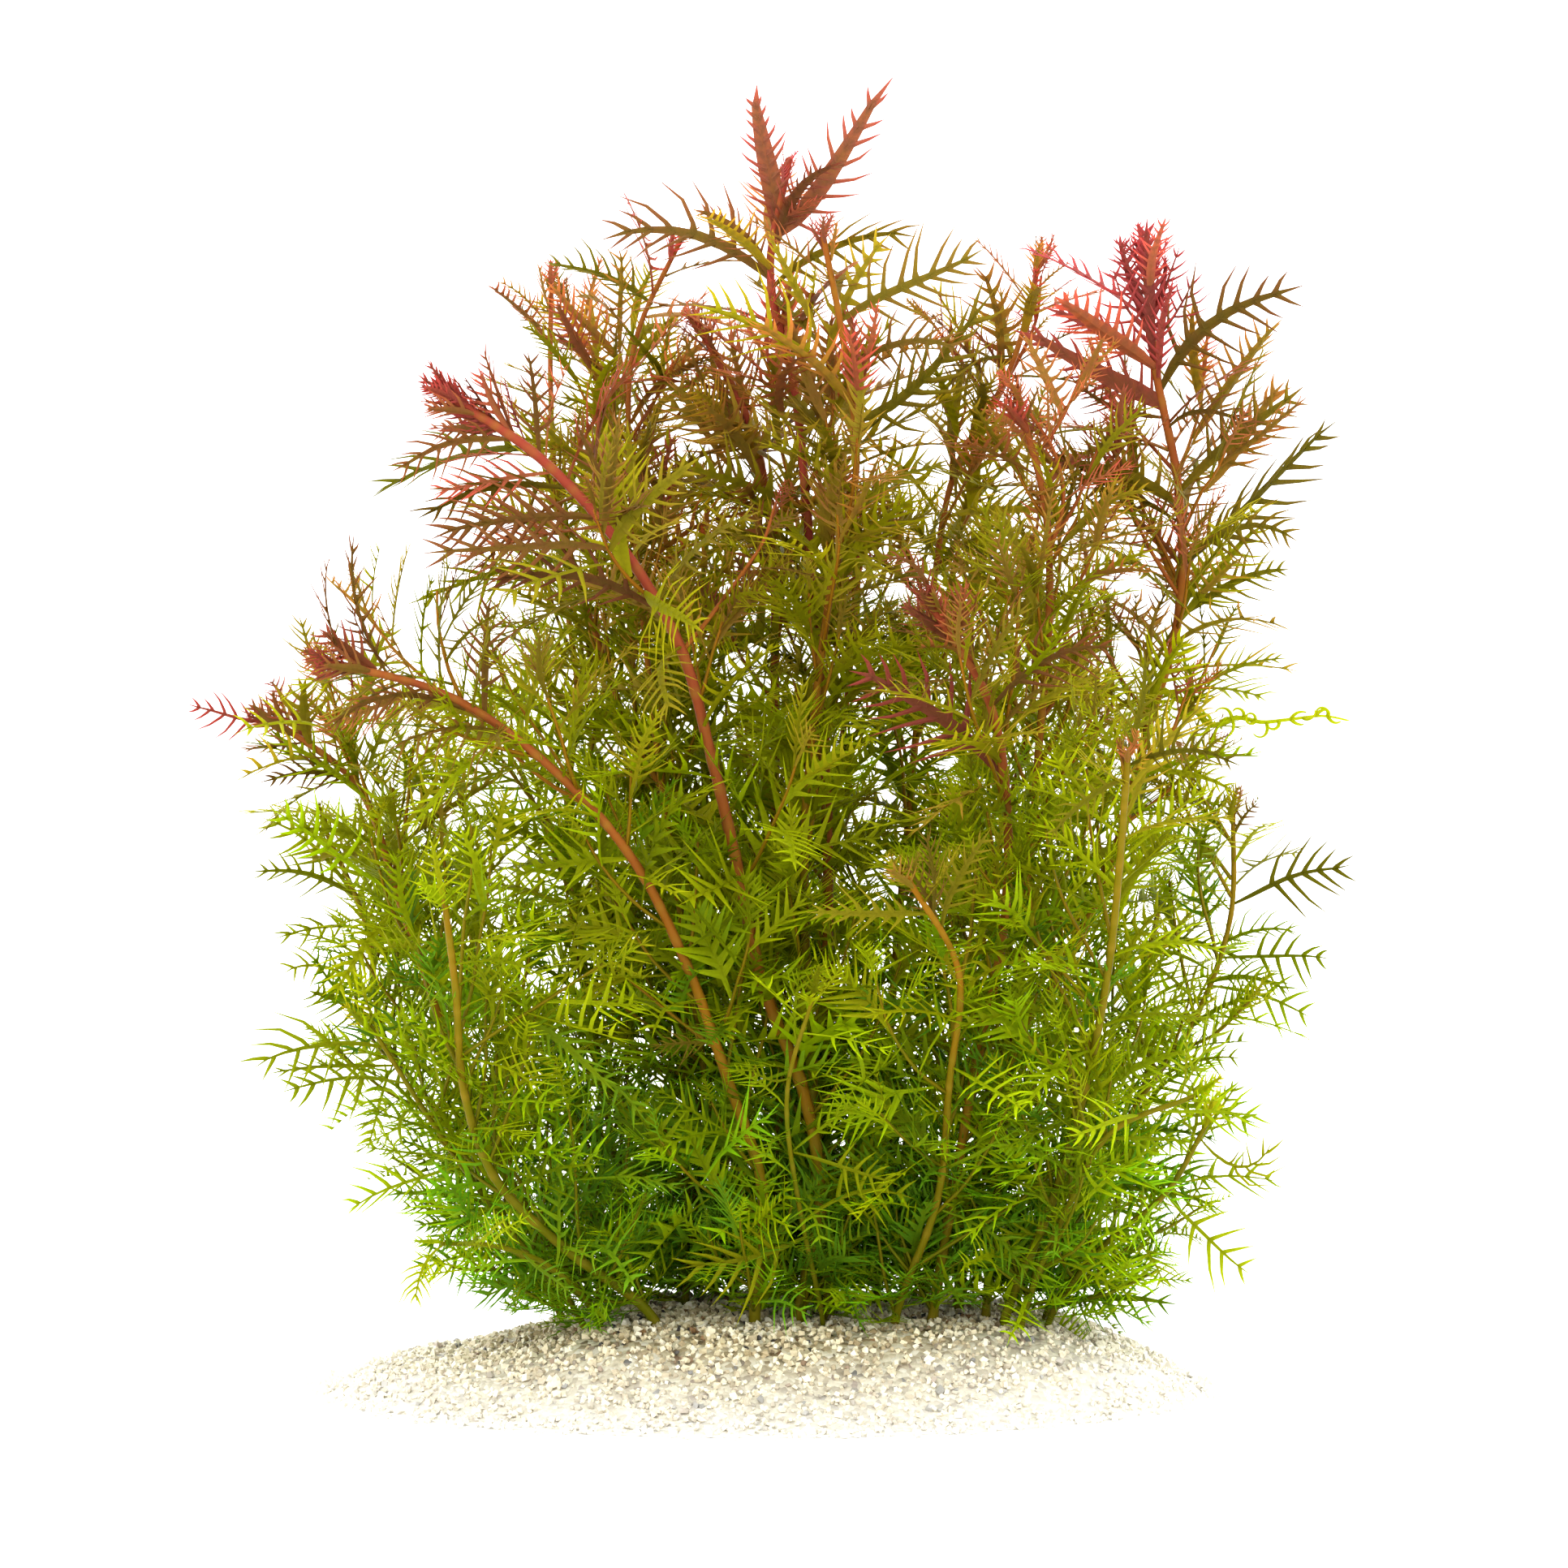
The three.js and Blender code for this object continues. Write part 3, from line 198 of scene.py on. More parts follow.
SIDE_SHOOTS = [
    ("15_centre_red", ((1.0, 12.0, 136.0), (-5.0, 8.0, 144.0), (-9.0, 5.0, 153.0)), 0.42, 0.25, 24, -0.2),
    ("20_right_mid_red", ((54.5, -16.2, 153.5), (60.0, -20.0, 160.0), (64.0, -22.0, 169.0)), 0.42, 0.25, 23, 0),
    ("15_centre_red", ((1.4, 12.0, 101.0), (9.0, 9.0, 107.0), (17.0, 6.0, 115.0)), 0.42, 0.25, 24, -0.4),
    ("20_right_mid_red", ((51.9, -13.5, 118.0), (58.0, -18.0, 124.0), (64.0, -21.0, 132.0)), 0.42, 0.25, 22, 0),
    ("24_right_foot", ((57.0, -12.7, 18.7), (66.0, -16.0, 21.0), (76.0, -18.0, 26.0)), 0.42, 0.25, 17, 0),
    ("24_right_foot", ((67.0, -17.4, 32.0), (76.0, -15.0, 33.0), (85.0, -13.0, 38.0)), 0.42, 0.25, 18, 0),
    ("06_left_mid", ((-55.5, 15.8, 34.5), (-66.0, 12.0, 39.0), (-75.0, 9.0, 45.0)), 0.42, 0.25, 20, 0),
    ("06_left_mid", ((-66.0, 18.0, 52.0), (-77.0, 15.0, 58.0), (-86.0, 12.0, 66.0)), 0.42, 0.25, 21, 0),
    ("22_right_outer", ((80.5, 7.5, 66.5), (88.0, 3.0, 70.0), (95.0, 0.0, 77.0)), 0.42, 0.25, 21, 0),
    ("12_centre_back", ((-3.0, 22.0, 14.5), (-11.0, 17.0, 17.0), (-19.0, 12.0, 21.0)), 0.42, 0.25, 13, -0.3),
    ("10_left_shoulder", ((-16.7, 13.0, 15.5), (-23.0, 11.0, 17.5), (-30.0, 8.0, 21.0)), 0.42, 0.25, 13, -0.3),
    ("15_centre_red", ((4.4, 12.0, 15.8), (10.0, 9.0, 18.0), (17.0, 7.0, 21.0)), 0.42, 0.25, 13, -0.3),
    ("16_right_top", ((21.5, 12.0, 15.5), (28.0, 9.0, 18.0), (34.0, 7.0, 22.0)), 0.42, 0.25, 13, -0.3),
    ("25_back_centre", ((12.8, 35.0, 13.5), (15.0, 28.0, 17.0), (19.0, 21.0, 20.0)), 0.42, 0.25, 13, -0.3),
    ("14_left_top_back", ((-11.2, 32.0, 13.5), (-17.0, 27.0, 17.0), (-24.0, 20.0, 20.0)), 0.42, 0.25, 13, -0.3),
    ("22_right_outer", ((76.1, 6.9, 60.0), (80.0, 1.0, 68.0), (83.0, -3.0, 78.0)), 0.42, 0.25, 22, 0.1),
    ("17_right_tall", ((69.8, 2.7, 111.5), (78.5, 5.0, 118.0), (87.0, 7.0, 126.5)), 0.42, 0.25, 24, 0.0),
    ("13_left_top", ((-13.2, 13.4, 63.5), (-21.0, 11.0, 69.0), (-30.0, 8.0, 76.0)), 0.42, 0.25, 23, -0.1),
    ("10_left_shoulder", ((-16.5, 17.0, 59.0), (-24.5, 21.0, 63.0), (-34.0, 24.0, 70.0)), 0.42, 0.25, 23, 0),
    ("11_left_back", ((-35.6, 34.2, 68.0), (-34.0, 28.0, 77.0), (-33.0, 22.0, 88.0)), 0.42, 0.25, 24, 0),
    ("14_left_top_back", ((-18.6, 37.8, 72.0), (-25.0, 34.0, 80.0), (-32.0, 29.0, 90.0)), 0.42, 0.25, 24, 0),
    ("04_left_arch_low", ((-10.0, -26.7, 70.0), (-18.0, -24.0, 76.0), (-27.0, -21.0, 83.0)), 0.42, 0.25, 22, -0.6),
    ("13_left_top", ((-27.7, 19.5, 188.0), (-22.5, 15.0, 196.0), (-17.5, 11.0, 205.0)), 0.42, 0.25, 24, 0),
    ("15_centre_red", ((-2.3, 12.0, 185.0), (-8.0, 8.5, 191.0), (-14.0, 6.0, 198.0)), 0.42, 0.25, 23, -0.2),
    ("17_right_tall", ((79.8, 3.1, 148.0), (83.0, 8.0, 158.0), (82.0, 12.0, 170.0)), 0.42, 0.25, 23, 0.1),
    ("17_right_tall", ((72.2, 2.8, 120.5), (78.0, -4.0, 128.0), (82.0, -8.0, 139.0)), 0.42, 0.25, 23, 0.1),
    ("22_right_outer", ((92.0, 10.4, 97.0), (86.5, 6.0, 107.0), (81.5, 3.0, 117.0)), 0.42, 0.25, 18, 0),
    ("06_left_mid", ((-50.0, 15.0, 25.6), (-60.0, 18.0, 30.5), (-69.0, 20.0, 35.0)), 0.42, 0.25, 19, 0),
    ("24_right_foot", ((60.6, -14.4, 23.3), (70.0, -12.0, 28.0), (78.0, -10.0, 34.0)), 0.42, 0.25, 19, 0),
    ("05_left_outer", ((-80.3, -4.0, 119.0), (-82.5, -9.0, 129.0), (-81.0, -13.0, 139.0)), 0.42, 0.25, 22, 0.3),
    ("20_right_mid_red", ((53.9, -17.0, 167.0), (59.5, -15.0, 175.0), (64.0, -13.0, 186.0)), 0.45, 0.25, 23, -0.25),
    ("20_right_mid_red", ((51.5, -19.0, 184.0), (57.0, -16.0, 192.0), (61.0, -14.0, 201.0)), 0.45, 0.25, 22, -0.1),
    ("17_right_tall", ((80.9, 3.2, 157.0), (74.5, -2.0, 167.0), (69.5, -6.0, 178.0), (67.5, -8.0, 188.0)), 0.45, 0.25, 23, 0.0),
    ("17_right_tall", ((80.5, 3.4, 181.0), (73.5, 7.0, 189.0), (66.5, 9.0, 197.0)), 0.45, 0.25, 22, 0.0),
    ("11_left_back", ((-40.6, 43.0, 104.0), (-47.0, 39.0, 113.0), (-53.5, 35.0, 122.0), (-58.0, 31.0, 129.0)), 0.45, 0.25, 24, 0),
    ("27_back_left_low", ((-61.0, 54.8, 84.0), (-60.5, 45.0, 97.0), (-61.5, 37.0, 110.0), (-64.5, 31.0, 121.0)), 0.45, 0.25, 24, 0),
    ("06_left_mid", ((-80.4, 22.4, 84.0), (-74.0, 17.0, 96.0), (-68.0, 12.0, 108.0), (-66.0, 8.0, 119.0)), 0.45, 0.25, 23, 0),
    ("04_left_arch_low", ((-35.5, -39.8, 118.5), (-42.0, -35.0, 122.0), (-49.0, -31.0, 127.5), (-53.0, -27.0, 134.0)), 0.45, 0.25, 22, -0.2),
    ("26_back_right", ((49.8, 53.6, 114.2), (57.0, 50.0, 125.0), (62.5, 46.0, 138.0), (65.5, 43.0, 150.0)), 0.45, 0.25, 24, 0),
    ("17_right_tall", ((75.4, 2.9, 133.0), (69.5, 8.0, 141.0), (64.5, 12.0, 152.0), (63.0, 15.0, 163.0)), 0.45, 0.25, 22, 0.0),
    ("20_right_mid_red", ((52.9, -14.6, 133.0), (58.5, -11.0, 141.0), (62.5, -8.0, 150.0)), 0.45, 0.25, 21, -0.3),
    ("03_left_arch_red", ((-16.7, -29.0, 146.9), (-12.0, -27.8, 152.6), (-8.1, -26.6, 157.8), (-4.3, -25.4, 163.0), (-0.9, -24.2, 168.3), (1.4, -23.0, 175.4)), 0.5, 0.28, 16, 0),
    ("16_right_top", ((44.5, 23.3, 194.9), (37.9, 26.3, 204.4), (31.1, 29.3, 213.6)), 0.45, 0.25, 13, 0.1),
    ("22_right_outer", ((92.3, 11.4, 107.3), (88.2, 9.4, 114.0), (83.5, 7.4, 119.9)), 0.4, 0.22, 15, 0.1),
    ("16_right_top", ((43.5, 23.2, 193.1), (47.6, 25.8, 199.5), (53.4, 28.5, 211.0), (54.8, 31.2, 220.8)), 0.5, 0.28, 17, 0.25),
    ("20_right_mid_red", ((54.0, -17.2, 164.4), (57.0, -18.8, 175.4), (55.4, -20.5, 184.8), (50.6, -22.2, 192.6)), 0.5, 0.3, 18, 0.15),
    ("18_right_centre", ((44.4, -40.1, 122.9), (42.9, -43.4, 135.5), (37.4, -46.7, 148.0), (32.7, -50.1, 155.7)), 0.55, 0.35, 20, 0.2),
    ("13_left_top", ((-12.6, 13.3, 58.5), (-20.0, 16.0, 62.0), (-28.0, 17.0, 67.0)), 0.42, 0.25, 22, -0.2),
    ("14_left_top_back", ((-12.1, 32.6, 20.0), (-19.0, 36.0, 21.0), (-27.0, 38.0, 23.0)), 0.42, 0.25, 14, -0.3),
    ("11_left_back", ((-27.2, 25.0, 19.0), (-22.0, 20.0, 20.0), (-16.0, 14.0, 22.0)), 0.42, 0.25, 14, -0.3),
    ("10_left_shoulder", ((-16.6, 15.5, 47.0), (-24.0, 14.0, 52.0), (-33.0, 13.0, 58.0)), 0.42, 0.25, 22, -0.2),
    ("11_left_back", ((-31.8, 29.7, 46.0), (-38.0, 26.0, 50.0), (-46.0, 23.0, 53.0)), 0.42, 0.25, 21, -0.2),
]
ODD_LEAVES = [
    ("22_right_outer", (87.1, 8.7, 79.5), (95.0, 6.0, 81.5), (104.0, 4.0, 77.5), 0.7, "F", 0.14),
    ("22_right_outer", (89.6, 9.4, 86.6), (97.0, 9.0, 90.5), (106.0, 8.0, 89.5), 0.5, "F", 0.16),
    ("17_right_tall", (76.0, 3.0, 203.5), (74.6, 1.6, 218.0), (74.0, 0.8, 231.5), 0.97, "C", 0.97),
    ("17_right_tall", (75.8, 4.6, 206.0), (74.3, 6.0, 218.5), (71.6, 6.8, 229.0), 0.6, "C", 1.0),
    ("17_right_tall", (76.4, 2.6, 200.0), (77.5, 0.6, 210.5), (79.6, -0.6, 219.5), 0.7, "C", 1.03),
    ("29_front_thin", (7.3, -27.2, 33.4), (-2.2, -29.0, 30.5), (-18.5, -30.2, 27.8), 0.8, "N", 0.4),
    ("04_left_arch_low", (-10.2, -26.7, 70.7), (-15.9, -29.1, 71.7), (-23.4, -30.7, 70.6), 0.6, "F", 0.6),
    ("13_left_top", (-20.7, 21.2, 199.5), (-23.7, 11.8, 204.2), (-28.7, 6.2, 211.3), 0.9, "F", 0.37),
    ("09_left_front", (-39.8, -39.3, 63.2), (-31.9, -43.3, 65.9), (-22.6, -45.3, 56.8), 0.9, "N", 0.06),
    ("09_left_front", (-47.1, -49.9, 77.4), (-37.7, -53.9, 73.1), (-28.5, -55.9, 64.1), 0.9, "F", 0.08),
    ("04_left_arch_low", (-15.3, -21.9, 47.9), (-13.6, -26.5, 42.1), (-10.5, -28.9, 34.6), 0.9, "N", 0.04),
    ("04_left_arch_low", (-16.1, -21.6, 46.3), (-23.0, -26.8, 53.2), (-35.5, -29.6, 61.4), 0.9, "F", 0.05),
    ("29_front_thin", (4.4, -48.4, 66.8), (0.5, -50.2, 66.6), (-4.8, -51.4, 69.8), 0.8, "N", 0.22),
    ("29_front_thin", (4.8, -37.4, 51.0), (16.0, -39.8, 48.4), (25.3, -41.4, 45.5), 0.8, "N", 0.32),
    ("29_front_thin", (6.5, -29.0, 37.3), (17.7, -31.4, 42.7), (28.6, -33.0, 42.1), 0.7, "N", 0.3),
    ("19_right_low_mid", (32.4, -55.4, 93.8), (29.5, -57.8, 102.6), (24.9, -59.4, 108.8), 0.7, "F", 0.66),
    ("19_right_low_mid", (30.9, -57.4, 96.6), (31.0, -58.6, 105.7), (29.5, -59.4, 114.9), 0.5, "F", 0.62),
    ("10_left_shoulder", (-16.9, 12.9, 17.5), (-21.5, 11.0, 20.0), (-29.0, 9.0, 20.5), 0.9, "N", 0.06),
    ("10_left_shoulder", (-16.9, 12.9, 18.5), (-14.0, 10.5, 20.5), (-8.0, 8.0, 21.5), 0.9, "N", 0.05),
    ("13_left_top", (-7.6, 12.1, 18.0), (-13.0, 9.5, 19.5), (-21.0, 7.5, 21.5), 0.9, "N", 0.07),
    ("03_left_arch_red", (-51.5, -38.0, 189.6), (-59.0, -39.0, 194.8), (-67.0, -39.6, 200.0), 0.95, "C", 0.97),
    ("03_left_arch_red", (-54.0, -38.2, 190.9), (-60.0, -39.8, 196.6), (-65.0, -40.4, 203.0), 0.6, "C", 0.95),
    ("03_left_arch_red", (-50.5, -37.6, 188.9), (-57.5, -38.4, 191.6), (-66.0, -38.8, 194.6), 0.6, "C", 0.93),
    ("17_right_tall", (75.7, 3.6, 207.5), (70.5, 1.5, 214.0), (67.0, 0.5, 222.5), 0.8, "N", 0.97),
    ("17_right_tall", (75.7, 3.6, 207.5), (80.5, 1.5, 213.0), (83.5, 0.5, 220.5), 0.8, "N", 0.97),
    ("17_right_tall", (75.4, 3.0, 211.0), (71.5, 2.0, 220.0), (69.0, 1.0, 228.5), 0.8, "N", 0.99),
    ("17_right_tall", (75.4, 3.0, 211.0), (78.5, 2.0, 218.5), (81.0, 1.0, 226.5), 0.8, "N", 0.99),
    ("06_left_mid", (-78.8, 21.9, 82.3), (-71.5, 19.0, 88.9), (-64.2, 17.6, 92.5), 0.85, "N", 0.16),
    ("17_right_tall", (60.5, 2.5, 87.2), (68.4, -0.5, 91.6), (76.3, -1.9, 93.1), 0.83, "N", 0.23),
    ("11_left_back", (-39.6, 39.0, 87.7), (-48.4, 36.0, 87.5), (-57.3, 34.7, 84.4), 0.76, "N", 0.17),
    ("22_right_outer", (87.3, 9.1, 82.8), (77.4, 6.2, 86.7), (67.5, 4.9, 87.6), 0.80, "N", 0.20),
    ("28_back_right_low", (75.9, 45.2, 78.4), (68.8, 42.2, 84.2), (61.6, 40.7, 87.0), 0.92, "N", 0.24),
    ("01_tall_centre", (12.4, 1.6, 81.5), (20.0, -1.4, 87.0), (27.7, -2.7, 89.5), 0.89, "N", 0.16),
    ("11_left_back", (-36.9, 35.2, 73.0), (-42.9, 32.1, 79.4), (-48.8, 30.6, 82.8), 0.93, "F", 0.16),
    ("11_left_back", (-37.7, 36.7, 79.3), (-41.4, 33.5, 86.3), (-45.2, 31.8, 90.2), 0.80, "N", 0.20),
    ("14_left_top_back", (-21.3, 39.3, 81.7), (-32.6, 36.5, 81.2), (-44.0, 35.3, 77.8), 0.89, "F", 0.15),
    ("28_back_right_low", (75.4, 41.9, 70.6), (83.3, 38.8, 73.5), (91.1, 37.3, 73.5), 0.79, "F", 0.16),
    ("28_back_right_low", (79.6, 48.6, 85.4), (89.4, 45.7, 84.6), (99.2, 44.4, 80.8), 0.78, "F", 0.15),
    ("22_right_outer", (84.8, 8.3, 75.7), (78.2, 5.4, 82.8), (71.6, 4.0, 87.0), 0.80, "N", 0.22),
    ("22_right_outer", (83.9, 7.9, 70.8), (91.1, 4.8, 76.1), (98.2, 3.4, 78.4), 0.85, "F", 0.14),
    ("22_right_outer", (79.5, 7.5, 66.6), (74.9, 4.4, 74.1), (70.4, 2.9, 78.7), 0.77, "N", 0.16),
    ("01_tall_centre", (12.2, 1.7, 73.0), (20.0, -1.2, 79.5), (27.8, -2.6, 83.0), 0.94, "N", 0.20),
    ("05_left_outer", (-64.1, -4.0, 71.3), (-70.2, -7.1, 77.4), (-76.4, -8.6, 80.5), 0.86, "N", 0.15),
    ("22_right_outer", (77.9, 7.0, 61.6), (86.1, 4.0, 64.9), (94.2, 2.6, 65.2), 0.89, "N", 0.22),
    ("28_back_right_low", (73.4, 39.8, 65.7), (83.3, 36.9, 69.8), (93.1, 35.6, 70.9), 0.77, "N", 0.14),
    ("05_left_outer", (-57.9, -4.0, 55.2), (-64.9, -7.0, 62.2), (-71.9, -8.3, 66.1), 0.83, "N", 0.14),
    ("22_right_outer", (72.0, 6.2, 52.8), (78.4, 3.3, 60.1), (84.9, 1.9, 64.4), 0.83, "N", 0.12),
    ("13_left_top", (-12.2, 13.0, 51.3), (-19.4, 10.1, 59.0), (-26.7, 8.8, 63.7), 0.87, "N", 0.14),
    ("27_back_left_low", (-49.8, 42.5, 54.1), (-39.9, 39.6, 55.2), (-29.9, 38.3, 53.2), 0.89, "N", 0.08),
    ("22_right_outer", (74.9, 6.6, 56.7), (86.2, 3.8, 55.6), (97.5, 2.6, 51.6), 0.92, "N", 0.11),
    ("11_left_back", (-33.6, 30.2, 50.4), (-42.3, 27.3, 49.9), (-51.1, 25.9, 46.3), 0.85, "N", 0.07),
    ("06_left_mid", (-58.8, 16.3, 39.2), (-67.0, 13.4, 45.2), (-75.2, 12.1, 48.2), 0.75, "F", 0.06),
    ("05_left_outer", (-50.2, -4.0, 39.6), (-58.0, -7.1, 43.5), (-65.7, -8.5, 44.3), 0.93, "N", 0.09),
    ("22_right_outer", (66.6, 5.3, 39.8), (75.4, 2.4, 41.0), (84.1, 1.0, 39.2), 0.91, "F", 0.03),
    ("28_back_right_low", (55.4, 25.2, 26.4), (63.7, 22.2, 28.4), (72.1, 20.8, 27.5), 0.92, "F", 0.04),
    ("28_back_right_low", (59.6, 28.1, 36.4), (67.6, 25.0, 37.2), (75.6, 23.6, 35.0), 0.85, "F", 0.07),
    ("22_right_outer", (68.8, 5.7, 45.1), (76.0, 2.6, 49.3), (83.3, 1.1, 50.5), 0.81, "N", 0.06),
    ("22_right_outer", (66.6, 5.3, 39.7), (78.9, 2.6, 38.7), (91.1, 1.5, 34.8), 0.79, "F", 0.11),
    ("22_right_outer", (64.4, 5.0, 34.8), (73.6, 2.1, 34.6), (82.9, 0.7, 31.3), 0.85, "N", 0.04),
    ("22_right_outer", (68.9, 5.7, 44.6), (79.2, 2.8, 43.9), (89.6, 1.6, 40.2), 0.82, "N", 0.10),
    ("27_back_left_low", (-40.8, 34.6, 31.7), (-47.8, 31.6, 39.4), (-54.7, 30.3, 44.1), 0.87, "N", 0.08),
    ("11_left_back", (-32.0, 28.3, 41.1), (-42.6, 25.4, 40.4), (-53.2, 24.2, 36.7), 0.89, "N", 0.08),
    ("06_left_mid", (-56.2, 15.8, 34.2), (-66.7, 12.9, 37.3), (-77.2, 11.7, 37.5), 0.78, "F", 0.08),
    ("06_left_mid", (-53.4, 15.3, 29.4), (-62.7, 12.4, 31.7), (-72.0, 11.0, 31.0), 0.76, "N", 0.08),
    ("06_left_mid", (-50.4, 14.9, 24.6), (-61.2, 12.1, 24.7), (-72.1, 10.9, 21.8), 0.82, "N", 0.07),
    ("22_right_outer", (57.3, 4.1, 17.4), (66.0, 1.1, 20.9), (74.7, -0.3, 21.4), 0.94, "N", 0.06),
    ("28_back_right_low", (51.4, 22.6, 15.9), (58.8, 19.5, 18.3), (66.1, 17.9, 17.8), 0.91, "F", -0.01),
    ("22_right_outer", (57.3, 4.1, 17.2), (69.2, 1.4, 18.1), (81.1, 0.2, 16.0), 0.90, "F", 0.07),
    ("13_left_top", (-8.6, 12.2, 20.4), (-18.1, 9.2, 21.8), (-27.6, 7.9, 20.2), 0.85, "N", 0.02),
    ("17_right_tall", (39.2, 2.0, 21.2), (49.3, -0.8, 22.2), (59.4, -2.1, 20.1), 0.86, "N", 0.03),
    ("05_left_outer", (-38.2, -4.0, 19.7), (-47.6, -6.9, 21.9), (-57.1, -8.2, 21.0), 0.75, "N", 0.01),
    ("22_right_outer", (56.3, 4.0, 14.8), (65.2, 1.0, 17.7), (74.1, -0.4, 17.6), 0.87, "N", 0.05),
]
CURLED = ((77.0, 3.0, 138.9), (83.3, 0.0, 135.1), (87.2, -3.0, 131.8), (92.0, -5.0, 133.3), (96.6, -7.0, 132.5), (102.1, -8.0, 133.1), (108.4, -9.0, 133.8), (114.0, -10.0, 132.8))

# where a shoot carries more side twigs: (from z, to z)
CROWDED = {
    "01_tall_centre": (110, 196), "02_centre_gold": (120, 190), "15_centre_red": (150, 195), "06_left_mid": (40, 105),
    "10_left_shoulder": (100, 150), "11_left_back": (15, 136), "13_left_top": (130, 190),
    "16_right_top": (110, 180), "17_right_tall": (85, 190), "20_right_mid_red": (110, 185),
    "21_right_forward": (30, 126), "26_back_right": (60, 150),
    "28_back_right_low": (35, 70), "12_centre_back": (100, 170), "25_back_centre": (90, 160),
    "24_right_foot": (20, 56), "23_right_low": (20, 62), "05_left_outer": (40, 118),
    "04_left_arch_low": (55, 138), "09_left_front": (40, 96), "27_back_left_low": (15, 92),
    "14_left_top_back": (150, 165), "07_left_low": (25, 72), "18_right_centre": (90, 140),
}
# how far below the tip the twigs stop, where that isn't a fifth of the shoot
BARE_TOP = {
    "10_left_shoulder": 30, "13_left_top": 36, "14_left_top_back": 26, "11_left_back": 16,
    "15_centre_red": 20, "02_centre_gold": 30, "16_right_top": 30,
    "20_right_mid_red": 22, "04_left_arch_low": 26, "26_back_right": 16, "25_back_centre": 16,
    "12_centre_back": 18, "05_left_outer": 24, "06_left_mid": 14, "22_right_outer": 14,
}
# where leaves are missing from a shoot: (above z, share)
SPARSE = {
    "01_tall_centre": (212, 0.4), "02_centre_gold": (200, 0.5), "16_right_top": (195, 0.2),
    "17_right_tall": (172, 0.3), "22_right_outer": (60, 0.35),
    "14_left_top_back": (180, 0.35), "10_left_shoulder": (190, 0.5), "13_left_top": (200, 0.3),
}

# how far below its tip a shoot has only short leaves, close together
CROWN = {
    "17_right_tall": 8.0, "03_left_arch_red": 17.0, "04_left_arch_low": 13.0, "05_left_outer": 10.0, "16_right_top": 8.0,
    "01_tall_centre": 9.0, "18_right_centre": 14.0, "15_centre_red": 9.0, "20_right_mid_red": 10.0,
}

# crowns that are wider brushes of young leaves, and how red the tip is (0.98 elsewhere)
BRUSH = {
    "03_left_arch_red": 1.6, "04_left_arch_low": 1.7, "05_left_outer": 1.7, "18_right_centre": 1.5,
    "20_right_mid_red": 1.35, "15_centre_red": 1.25, "16_right_top": 1.4, "22_right_outer": 0.7,
}
TIP_TINT = {"18_right_centre": 0.8, "03_left_arch_red": 0.93, "15_centre_red": 0.9, "20_right_mid_red": 0.88, "16_right_top": 0.78, "05_left_outer": 0.9, "04_left_arch_low": 0.9, "09_left_front": 0.34}

# how red the skin of a stem is where it differs from its leaves
STEM_RED = {
    "17_right_tall": 0.55, "16_right_top": 0.5, "20_right_mid_red": 0.62, "02_centre_gold": 0.35,
    "15_centre_red": 0.8, "13_left_top": 0.5, "21_right_forward": 0.1, "22_right_outer": 0.3,
}

# ---------------------------------------------------------------- small maths


def unit(v):
    v = np.asarray(v, float)
    return v / np.maximum(np.linalg.norm(v, axis=-1, keepdims=True), 1e-12)


def smooth(a, b, x):
    t = np.clip((np.asarray(x, float) - a) / (b - a), 0, 1)
    return t * t * (3 - 2 * t)


def smooth_line(points, step):
    """A curve through the points, sampled every step, with the distance along it."""
    p = np.array(points, float)
    e = np.vstack([2 * p[0] - p[1], p, 2 * p[-1] - p[-2]])
    out = []
    for i in range(1, len(e) - 2):
        a, b, c, d = e[i - 1 : i + 3]
        n = max(int(np.linalg.norm(c - b) / 0.4), 4)
        t = np.linspace(0, 1, n, endpoint=False)[:, None]
        out.append(
            0.5
            * (
                2 * b
                + (c - a) * t
                + (2 * a - 5 * b + 4 * c - d) * t**2
                + (3 * b - a - 3 * c + d) * t**3
            )
        )
    out.append(p[-1:])
    q = np.vstack(out)
    s = np.r_[0, np.cumsum(np.linalg.norm(np.diff(q, axis=0), axis=1))]
    t = np.linspace(0, s[-1], max(int(round(s[-1] / step)), 3) + 1)
    return np.stack([np.interp(t, s, q[:, k]) for k in range(3)], 1), t


def frames_along(line):
    """Tangents and two sideways directions that turn as little as they can."""
    tangent = unit(np.gradient(line, axis=0))
    side = np.zeros_like(line)
    first = np.cross(tangent[0], (0, 1, 0))
    if np.linalg.norm(first) < 0.1:
        first = np.cross(tangent[0], (1, 0, 0))
    side[0] = unit(first)
    for k in range(1, len(line)):
        v = side[k - 1] - tangent[k] * np.dot(side[k - 1], tangent[k])
        side[k] = unit(v)
    return tangent, side, np.cross(tangent, side)


TWIG_GAP_LOW = 8.0
TWIG_GAP_RISE = 5.0
LOW_SPROUTS = 3
BASAL_LEAVES = 9
count = {"leaves": 0, "triangles": 0, "most": 0, "stems": 0, "detail": [0, 0, 0]}


